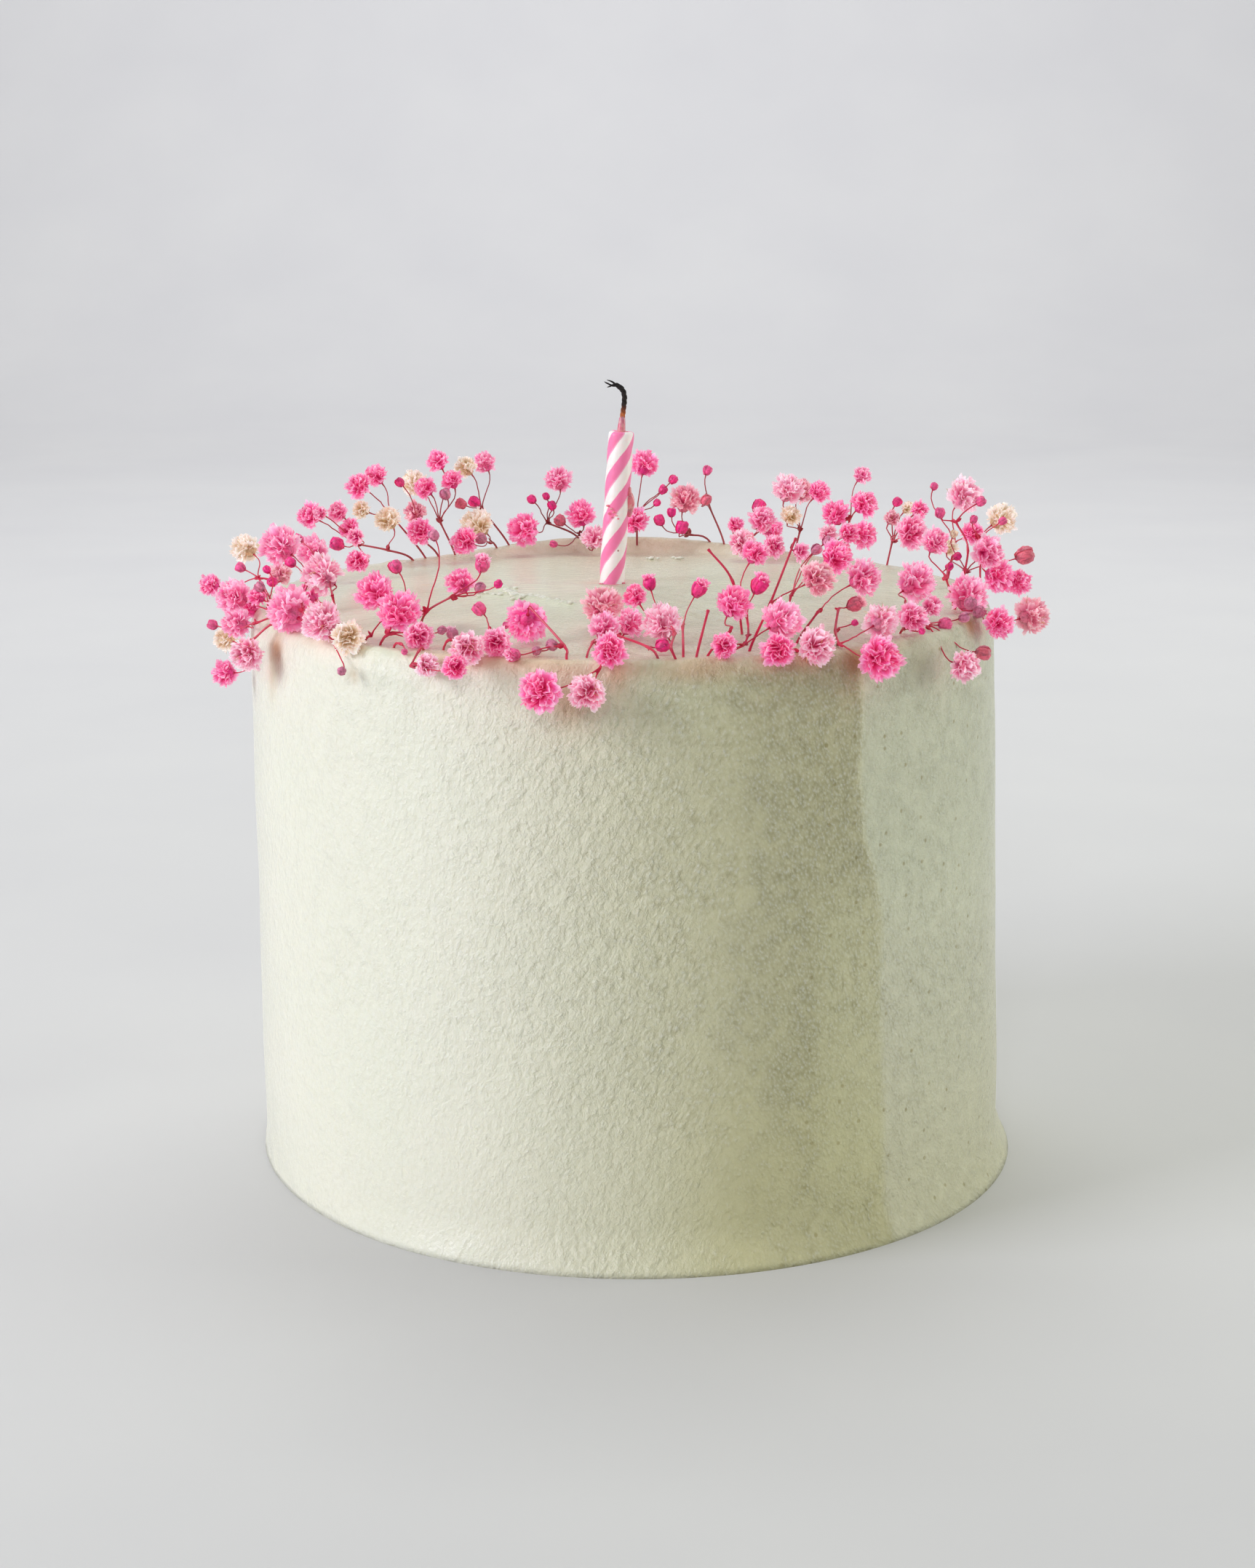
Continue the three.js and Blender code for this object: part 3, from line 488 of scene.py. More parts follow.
def makeButtercream():
    look = buttercream
    material, tree, shader, place = newMaterial(
        "buttercream", Roughness=0.4, IOR=1.45, Subsurface_Weight=0.15, Subsurface_Scale=3 * mm,
        Subsurface_Radius=(1.0, 0.85, 0.55))
    slant, fine, grain, paintedShade, pitted, stain = [
        addNode(tree, "Attribute", attribute_name=name).outputs["Fac"]
        for name in ("slant", "fine", "grain", "paintedShade", "pitted", "stain")]
    stainColour = addNode(tree, "Attribute", attribute_name="stainColour")

    # relief: pebbles that lean two ways on a slightly warped wall, softer where it is smooth
    wall = addNode(tree, "UVMap", uv_map="wall")
    warp = addNode(tree, "TexNoise", {"Vector": place, "Scale": 1 / (6 * mm), "Detail": 1.0})
    drift = addNode(tree, "VectorMath", {0: warp.outputs["Color"], 1: (0.7, 0.7, 0)}, operation="MULTIPLY")
    surface = addNode(tree, "VectorMath", {0: wall, 1: drift}, operation="ADD")
    left, leftDips = pebbleLayer(tree, surface, look["pebble"], look["leanLeft"], 3)
    right, rightDips = pebbleLayer(tree, surface, look["finePebble"], look["leanRight"], 8)
    pebble = addNode(tree, "Mix", {0: slant, 2: left, 3: right})
    dips = addNode(tree, "Mix", {0: slant, 2: leftDips, 3: rightDips})
    soft = addNode(tree, "TexNoise", {
        "Vector": place, "Scale": 1 / (1.1 * mm), "Detail": 4.0, "Roughness": 0.68})
    soft = addNode(tree, "Math", {0: soft, 1: 1.3, 2: -0.33}, operation="MULTIPLY_ADD")
    pebble = addNode(tree, "Mix", {0: fine, 2: pebble, 3: soft})
    patch = addNode(tree, "TexNoise", {"Vector": place, "Scale": 1 / (3 * mm), "Detail": 1.0})
    patch = addNode(tree, "MapRange", {0: patch, 1: 0.3, 2: 0.7, 3: 0.7, 4: 1.3})
    grain = addNode(tree, "Math", {0: grain, 1: patch}, operation="MULTIPLY")
    height = addNode(tree, "Math", {0: pebble, 1: grain}, operation="MULTIPLY")
    grit = addNode(tree, "TexNoise", {"Vector": place, "Scale": 1 / (look["grit"] * mm), "Detail": 2.0})

    # colour: how much of each change shows, then the changes one over the other, painted shade and
    # highlights among them
    pits = addNode(tree, "TexVoronoi", {"Vector": surface, "Scale": look["pitsPerMm"]},
                   voronoi_dimensions="2D")
    kept = addNode(tree, "SeparateXYZ", {0: pits.outputs["Color"]})
    kept = addNode(tree, "Math", {0: kept, 1: 1 - look["pitsKept"]}, operation="GREATER_THAN")
    kept = addNode(tree, "Math", {0: pitted, 1: kept}, operation="MULTIPLY")
    # painted shade in the pits: dark olive dots, kept round the right of the front
    paintedPitShade = addNode(tree, "MapRange", {0: pits, 1: 0.04, 2: 0.08, 3: 1.0, 4: 0.0})
    paintedPitShade = addNode(tree, "Math", {0: paintedPitShade, 1: kept}, operation="MULTIPLY")
    # painted shade in the pebbles' dips and a painted highlight on their crests, stronger where the pebbles
    # are deeper
    paintedReliefAmount = addNode(tree, "MapRange", {0: grain, 1: 0.6, 2: 1.25, 3: 0.2, 4: 1.1})
    paintedDipShade = addNode(tree, "MapRange", {0: dips, 1: 0.4, 2: 0.7, 3: 0.0, 4: 0.34})
    crest = addNode(tree, "MapRange", {0: dips, 1: 0.36, 2: 0.1, 3: 0.0, 4: 0.55})
    paintedShade, paintedDipShade, crest, paintedPitShade = [
        addNode(tree, "Math", {0: first, 1: second}, operation="MULTIPLY")
        for first, second in ((paintedShade, 0.92), (paintedDipShade, paintedReliefAmount), (crest, paintedReliefAmount), (paintedPitShade, 0.55))]

    patches = addNode(tree, "TexNoise", {"Vector": place, "Scale": 1 / (38 * mm), "Detail": 3.0})
    base = addNode(tree, "ValToRGB", {"Fac": patches}, [(0.3, look["warm"]), (0.72, look["high"])])
    for amount, colour, kind in (
            (paintedShade, linear(look["paintedShade"]), "MIX"), (paintedDipShade, linear(look["low"]), "MULTIPLY"),
            (crest, linear(look["crest"]), "MIX"), (fine, linear(look["smooth"]), "MULTIPLY"),
            (paintedPitShade, linear(look["paintedPitShade"]), "MIX"), (stain, stainColour, "MIX")):
        base = addNode(tree, "Mix", {0: amount, 6: base, 7: colour}, data_type="RGBA", blend_type=kind)
    pebbleBump = addNode(tree, "Bump", {
        "Height": height, "Distance": look["pebbleDepth"] * mm, "Strength": 1.0})
    gritBump = addNode(tree, "Bump", {
        "Height": grit, "Distance": look["gritDepth"] * mm, "Strength": 0.5, "Normal": pebbleBump})
    setInputs(tree, shader, {
        "Base Color": base, "Normal": gritBump,
        "Roughness": addNode(tree, "MapRange", {0: grit, 1: 0.3, 2: 0.7, 3: 0.12, 4: 0.28})})
    return material


def buildCrumbs():                         # loose clods along the spatula's ridge, and a few beside it
    path = smoothPath([(x, y, 0) for x, y in frosting["ridge"]], 0.55)
    clods = [(spot.x + dice.gauss(0, 0.45), spot.y + dice.gauss(0, 0.3), dice.uniform(0.35, 0.75))
             for spot in path]
    clods += [(x + dice.gauss(0, 1.3), y + dice.gauss(0, 1.3), dice.uniform(0.25, 0.6))
              for x, y in frosting["crumbs"] for _ in range(5)]
    made = []
    for i, (x, y, size) in enumerate(clods):
        clod, points = roughBall(subdivisions=2, wild=0.45, size=0.9, seed=60 + i)
        up = topHeight(x, y) + 0.25 * size + 0.55
        writePoints(clod, points * (size * 1.3, size, size * 0.7) + (x, y, up))
        made.append(clod)
    piece = joinPieces(*made)
    piece.name = piece.data.name = "frostingCrumbs"
    smoothShade(piece)
    return piece


cake = buildFrosting()
crumbs = buildCrumbs()
creamFinish = makeButtercream()
for piece in (cake, crumbs):
    piece.data.materials.append(creamFinish)
    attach(piece, "root")
    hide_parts("cake")
print("frosting:", len(cake.data.polygons), "faces")


# Candle

candle = {
    "foot": (-4, 8), "visible": 34.5, "buried": 20, "shown": 5, "radius": 2.9, "groove": 0.3,
    "turn": 25.5, "lobes": 3, "tilt": 3.9, "sides": 96, "step": 0.5,
    "rim": [(0.12, 0.3), (0.3, 0.18), (0.5, 0.02), (0.6, -0.25), (0.5, -0.3)],     # inwards, upwards
    # the edge colour is a painted highlight along the crease between the lobes
    "white": "#fff8f7", "pink": "#ff88ba", "edge": "#ffb4d2", "milky": "#efe3e4",
    "sootSpot": (1.0, -2.72, 8.0), "soot": "#8a4a3c",
    "melted": [(0.32, "#ec6f8f"), (0.55, "#f4929f"), (0.75, "#f7c3bf")],
}
candleFrame = (Matrix.Translation((*candle["foot"], topHeight(*candle["foot"])))
               @ Matrix.Rotation(math.radians(candle["tilt"]), 4, "Y"))


def inCandleFrame(points):
    turn = np.array(candleFrame.to_3x3())
    return points @ turn.T + np.array(candleFrame.translation)


def candlePhase(x, y, z):                  # 0 to 1 across a lobe; its first half is white, its second pink
    turns = np.arctan2(y, x) / (2 * math.pi) - (z + candle["buried"]) / candle["turn"]
    return candle["lobes"] * turns % 1


def buildCandle():
    look = candle
    bpy.ops.object.select_all(action="DESELECT")
    bpy.ops.mesh.primitive_circle_add(vertices=look["sides"], radius=look["radius"] * mm, fill_type="NGON",
                                      location=(0, 0, -look["shown"] * mm))
    piece = bpy.context.object
    piece.name = piece.data.name = "candle"
    bpy.ops.object.transform_apply(location=True)
    bpy.ops.object.mode_set(mode="EDIT")
    bpy.ops.mesh.select_all(action="SELECT")
    steps = round((look["shown"] + look["visible"] - 0.5) / look["step"])
    for _ in range(steps):
        bpy.ops.mesh.extrude_region_move(TRANSFORM_OT_translate={"value": (0, 0, look["step"] * mm)})
    for inset, rise in look["rim"]:
        bpy.ops.mesh.inset(thickness=inset * mm, depth=0)
        bpy.ops.transform.translate(value=(0, 0, rise * mm))
    bpy.ops.mesh.select_all(action="SELECT")
    bpy.ops.mesh.normals_make_consistent(inside=False)
    bpy.ops.object.mode_set(mode="OBJECT")
    x, y, z = readPoints(piece).T
    phase = candlePhase(x, y, z)
    notch = look["groove"] * (1 - np.abs(np.sin(math.pi * phase)) ** 0.45)
    ledge = 0.07 * bump(phase, 0.5, 0.05)
    points = np.stack([x, y, z], 1)
    dents = 0.09 * noiseAt(points, 3.5, 21) + 0.03 * noiseAt(points, 1, 22)
    nick = 0.45 * bump(x, -0.8, 1.6) * bump(z, 16.4, 1.1) * (y < 0)
    grow = 1 - (notch + ledge - dents + nick) / look["radius"]
    points[:, :2] *= grow[:, None]
    points[:, 2] += np.where(z > look["visible"] - 1.2, 0.12 * noiseAt(points, 1.6, 23), 0)
    writePoints(piece, inCandleFrame(points))
    smoothShade(piece, degrees=40)
    return piece


# Paraffin wax in two colours, dipped and twisted warm: milky, with a satin skin, and a weak glow for
# the light that comes through it
def makeTwistedWax():
    look = candle
    material, tree, shader, place = newMaterial(
        "twistedWax", Roughness=0.34, IOR=1.44, Subsurface_Weight=0.35, Subsurface_Scale=2.2 * mm,
        Subsurface_Radius=(1.0, 0.6, 0.55), Coat_Weight=0.12, Coat_Roughness=0.25, Emission_Strength=0.1)
    back = candleFrame.inverted()
    upright = addNode(tree, "Mapping", {
        "Vector": place, "Location": back.translation * mm, "Rotation": tuple(back.to_euler())})
    axes = addNode(tree, "SeparateXYZ", {0: upright})
    around = addNode(tree, "Math", {0: axes.outputs["Y"], 1: axes.outputs["X"]}, operation="ARCTAN2")
    turns = addNode(tree, "Math", {0: around, 1: look["lobes"] / (2 * math.pi)}, operation="MULTIPLY")
    climb = addNode(tree, "Math", {
        0: axes.outputs["Z"], 1: -look["lobes"] / (look["turn"] * mm),
        2: -look["lobes"] * look["buried"] / look["turn"]}, operation="MULTIPLY_ADD")
    wobble = addNode(tree, "TexNoise", {"Vector": place, "Scale": 1 / (2.5 * mm), "Detail": 2.0})
    drift = addNode(tree, "Math", {0: wobble, 1: 0.07, 2: -0.035}, operation="MULTIPLY_ADD")
    phase = addNode(tree, "Math", {0: turns, 1: climb}, operation="ADD")
    phase = addNode(tree, "Math", {0: phase, 1: drift}, operation="ADD")
    phase = addNode(tree, "Math", {0: phase}, operation="FRACT")
    # the edge colour at each end of a lobe is a painted highlight along the crease
    bands = addNode(tree, "ValToRGB", {"Fac": phase}, [
        (0.0, look["edge"]), (0.03, look["white"]), (0.47, look["white"]), (0.51, look["pink"]),
        (0.93, look["pink"]), (0.99, look["edge"])])
    mottle = addNode(tree, "TexNoise", {"Vector": place, "Scale": 1 / (1.1 * mm), "Detail": 3.0})
    milky = addNode(tree, "ValToRGB", {"Fac": mottle}, [(0.35, look["milky"]), (0.65, "#ffffff")])
    base = addNode(tree, "Mix", {0: 0.3, 6: bands, 7: milky}, data_type="RGBA", blend_type="MULTIPLY")
    soot = candleFrame @ Vector(look["sootSpot"])
    toSpot = addNode(tree, "VectorMath", {0: place, 1: soot * mm}, operation="DISTANCE")
    spot = addNode(tree, "MapRange", {0: toSpot, 1: 0.16 * mm, 2: 0.3 * mm, 3: 1.0, 4: 0.0})
    base = addNode(tree, "Mix", {0: spot, 6: base, 7: linear(look["soot"])}, data_type="RGBA")
    skin = addNode(tree, "TexNoise", {"Vector": place, "Scale": 1 / (0.7 * mm), "Detail": 2.0})
    setInputs(tree, shader, {
        "Base Color": base, "Emission Color": base,
        "Roughness": addNode(tree, "MapRange", {0: skin, 1: 0.3, 2: 0.7, 3: 0.27, 4: 0.45}),
        "Normal": addNode(tree, "Bump", {"Height": skin, "Distance": 0.05 * mm, "Strength": 0.5})})
    return material


# The same wax melted and set again: clearer, warmer and glossier
def makeMeltedWax():
    material, tree, shader, place = newMaterial(
        "meltedWax", Roughness=0.2, IOR=1.44, Subsurface_Weight=0.5, Subsurface_Scale=1.5 * mm,
        Subsurface_Radius=(1.0, 0.45, 0.35), Coat_Weight=0.3, Coat_Roughness=0.15)
    cloud = addNode(tree, "TexNoise", {"Vector": place, "Scale": 1 / (0.9 * mm), "Detail": 3.0})
    setInputs(tree, shader, {
        "Base Color": addNode(tree, "ValToRGB", {"Fac": cloud}, candle["melted"]),
        "Normal": addNode(tree, "Bump", {"Height": cloud, "Distance": 0.08 * mm, "Strength": 0.6})})
    return material


# Blobs of wax on the candle, in its own frame: middle, radii, roughness of the blob
waxBlobs = [
    ((3.0, -0.7, 18.6), (0.95, 0.9, 2.6), 0.18), ((3.0, -0.8, 16.6), (0.6, 0.7, 1.1), 0.15),
    ((2.7, -1.2, 21.2), (0.45, 0.5, 1.2), 0.12),
    ((-1.9, -2.2, 17.9), (0.5, 0.28, 0.22), 0.3), ((-1.2, -2.6, 17.3), (0.42, 0.25, 0.2), 0.3),
    ((-0.5, -2.75, 16.6), (0.4, 0.25, 0.25), 0.3), ((0.1, -2.8, 15.9), (0.36, 0.22, 0.2), 0.3),
    ((-1.6, -2.35, 16.2), (0.3, 0.2, 0.26), 0.3), ((0.5, -2.75, 15.2), (0.3, 0.2, 0.2), 0.3),
    ((-0.9, -2.6, 15.4), (0.26, 0.18, 0.2), 0.3),
    ((2.6, -1.3, 0.35), (0.55, 0.5, 0.4), 0.25), ((1.2, -2.7, 0.2), (0.7, 0.4, 0.25), 0.25),
    ((-2.3, -1.9, 0.1), (0.6, 0.5, 0.25), 0.25), ((0.9, -0.3, 34.35), (0.7, 0.5, 0.3), 0.2),
]


def buildBlobs():
    made = []
    for i, (middle, radii, wild) in enumerate(waxBlobs):
        blob, points = roughBall(subdivisions=3, wild=wild, size=0.8, seed=30 + i)
        writePoints(blob, inCandleFrame(points * radii + middle))
        made.append(blob)
    piece = joinPieces(*made)
    piece.name = piece.data.name = "waxDrips"
    smoothShade(piece)
    return piece


candleBody = buildCandle()
candleBody.data.materials.append(makeTwistedWax())
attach(candleBody, "root")
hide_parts("candle")
meltedWax = makeMeltedWax()
drips = buildBlobs()
drips.data.materials.append(meltedWax)
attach(drips, "root")
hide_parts("candle")
print("candle and its drips")


# Wick: three strands twisted together, waxed at the bottom, burnt and forked at the top

wick = {
    "path": [(0, -2), (0, 1), (0, 2.5), (0.2, 5.6), (0.2, 7.6), (-0.2, 9), (-1.5, 10.1), (-3.2, 10.35)],
    "strands": 3, "strandRadius": 0.33, "offset": 0.3, "pitch": 3.4, "frayed": 2.2,
    "stub": [(0, -2), (0.85, -2), (0.95, -0.3), (0.92, 0.3), (0.86, 1.2), (0.76, 2.2), (0.66, 3.0),
             (0.4, 3.4), (0, 3.45)],
    # how far each strand's tip goes on, sideways and up
    "forks": [(-0.9, 0.15), (-0.3, 0.5), (-0.2, -0.35)],
    "char": [(0.22, "#e0868f"), (0.36, "#c9733f"), (0.48, "#7a3d22"), (0.6, "#231a18"), (1.0, "#191516")],
    "ash": "#6d6462",
}


def sweepTubes(name, tubes, resolution):   # tubes: lists of (point, radius), in mm
    curve = bpy.data.curves.new(name, "CURVE")
    curve.dimensions = "3D"
    curve.bevel_depth = mm
    curve.bevel_resolution = resolution
    curve.use_fill_caps = True
    for tube in tubes:
        spline = curve.splines.new("POLY")
        spline.points.add(len(tube) - 1)
        for knot, (point, radius) in zip(spline.points, tube):
            knot.co = (*(Vector(point) * mm), 1)
            knot.radius = radius
    piece = bpy.data.objects.new(name, curve)
    bpy.context.scene.collection.objects.link(piece)
    selectOnly(piece)
    bpy.ops.object.convert(target="MESH")
    return bpy.context.object


def buildWick():
    path = smoothPath([(x, 0, z) for x, z in wick["path"]], 0.3)
    lengths = np.cumsum([0, *[(b - a).length for a, b in zip(path, path[1:])]])
    tubes = []
    for strand, (forkOut, forkUp) in enumerate(wick["forks"]):
        tube = []
        for i, point in enumerate(path):
            along = (path[min(i + 1, len(path) - 1)] - path[max(i - 1, 0)]).normalized()
            side = along.cross(Vector((0, 1, 0))).normalized()
            turn = 2 * math.pi * (lengths[i] / wick["pitch"] + strand / wick["strands"])
            near = (side * math.cos(turn) + side.cross(along) * math.sin(turn)) * wick["offset"]
            left = lengths[-1] - lengths[i]
            fray = max(0, 1 - left / wick["frayed"])
            radius = wick["strandRadius"] * (1 - 0.55 * fray) * (1 + 0.2 * noise.noise(point * 1.3))
            tube.append((point + near + Vector((forkOut, 0, forkUp)) * fray ** 2, radius))
        tip = tube[-1][0] + (tube[-1][0] - tube[-2][0]).normalized() * 0.5
        tubes.append([*tube, (tip, 0.04)])
    strands = sweepTubes("wick", tubes, 2)
    points = readPoints(strands)
    points += readNormals(strands) * (0.07 * noiseAt(points, 0.5, 41))[:, None]
    writePoints(strands, inCandleFrame(points + (0, 0, candle["visible"])))
    stub = drawProfile("waxedStub", wick["stub"])
    turnProfile(stub, 24)
    points = readPoints(stub)
    points[:, :2] *= (1 + 0.1 * noiseAt(points, 0.9, 42))[:, None]
    writePoints(stub, inCandleFrame(points + (0, 0, candle["visible"])))
    return strands, stub


# Cotton yarn, burnt: matt black char with a little grey ash, scorched brown where the wax begins
def makeCharredCotton():
    material, tree, shader, place = newMaterial("charredCotton", Roughness=0.85)
    axes = addNode(tree, "SeparateXYZ", {0: place})
    top = candleFrame @ Vector((0, 0, candle["visible"]))
    speckle = addNode(tree, "TexNoise", {"Vector": place, "Scale": 1 / (0.35 * mm), "Detail": 3.0})
    level = addNode(tree, "MapRange", {
        0: axes.outputs["Z"], 1: top.z * mm, 2: (top.z + 10) * mm, 3: 0.0, 4: 1.0})
    uneven = addNode(tree, "Math", {0: speckle, 1: 0.16, 2: -0.08}, operation="MULTIPLY_ADD")
    level = addNode(tree, "Math", {0: level, 1: uneven}, operation="ADD")
    burnt = addNode(tree, "ValToRGB", {"Fac": level}, wick["char"])
    ash = addNode(tree, "MapRange", {0: speckle, 1: 0.58, 2: 0.72, 3: 0.0, 4: 0.35})
    fibre = addNode(tree, "TexNoise", {"Vector": place, "Scale": 1 / (0.16 * mm), "Detail": 2.0})
    setInputs(tree, shader, {
        "Base Color": addNode(tree, "Mix", {0: ash, 6: burnt, 7: linear(wick["ash"])}, data_type="RGBA"),
        "Normal": addNode(tree, "Bump", {"Height": fibre, "Distance": 0.1 * mm, "Strength": 0.8})})
    return material


wickBody, stub = buildWick()
wickBody.data.materials.append(makeCharredCotton())
stub.data.materials.append(meltedWax)
joinPieces(wickBody, stub)
smoothShade(wickBody)
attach(wickBody, "root")
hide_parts("wick")
print("wick")


# Flowers: small double blooms and buds on thin branched stems, dried and dyed

flowers = {
    "mainRadius": 0.29, "branchRadius": 0.16, "jointRadius": 0.41, "pegDepth": 7, "pegClearance": 0.8,
    "stemStep": 1.1, "branchStep": 1.3, "bow": 0.35, "faceOut": 0.9, "faceUp": 0.4, "budSize": 0.9,
    "bloomPetals": 15, "halfPetals": 5, "threads": 2.2,        # for each mm of a head's diameter
    "petalWidth": 0.34, "widest": 132, "halfWidest": 55,       # share of the diameter, degrees off the axis
    # the crease colour is painted shade in the low places of the sepals' ribs
    "blotch": "#f0c8dc", "dryTip": "#fdf0f3", "paintedCreaseShade": "#c894a8", "thread": "#dcb988", "bract": "#9a3448",
    "stemDye": [(0.34, "#a01a3c"), (0.5, "#d4244e"), (0.62, "#dc4060"), (0.72, "#a05048")],
    "backStemColour": "#8a5650",
}
tints = {                                  # petals inside, petals outside, sepals, buds
    "hot": ("#ee0078", "#ff9cd6", "#e63c8c", "#f6348c"),
    "rose": ("#ea1c80", "#ffbfe2", "#e46094", "#f6609c"),
    "blush": ("#e84888", "#ffe4f2", "#e48cac", "#f09cb8"),
    "cream": ("#dcb680", "#fffcf4", "#dcb890", "#f6dcc0"),
    "peach": ("#d84878", "#f6c0ca", "#d4748c", "#ec7088"),
    "grey": ("#d06a94", "#f2bfd6", "#cc84a0", "#d880a2"),
}

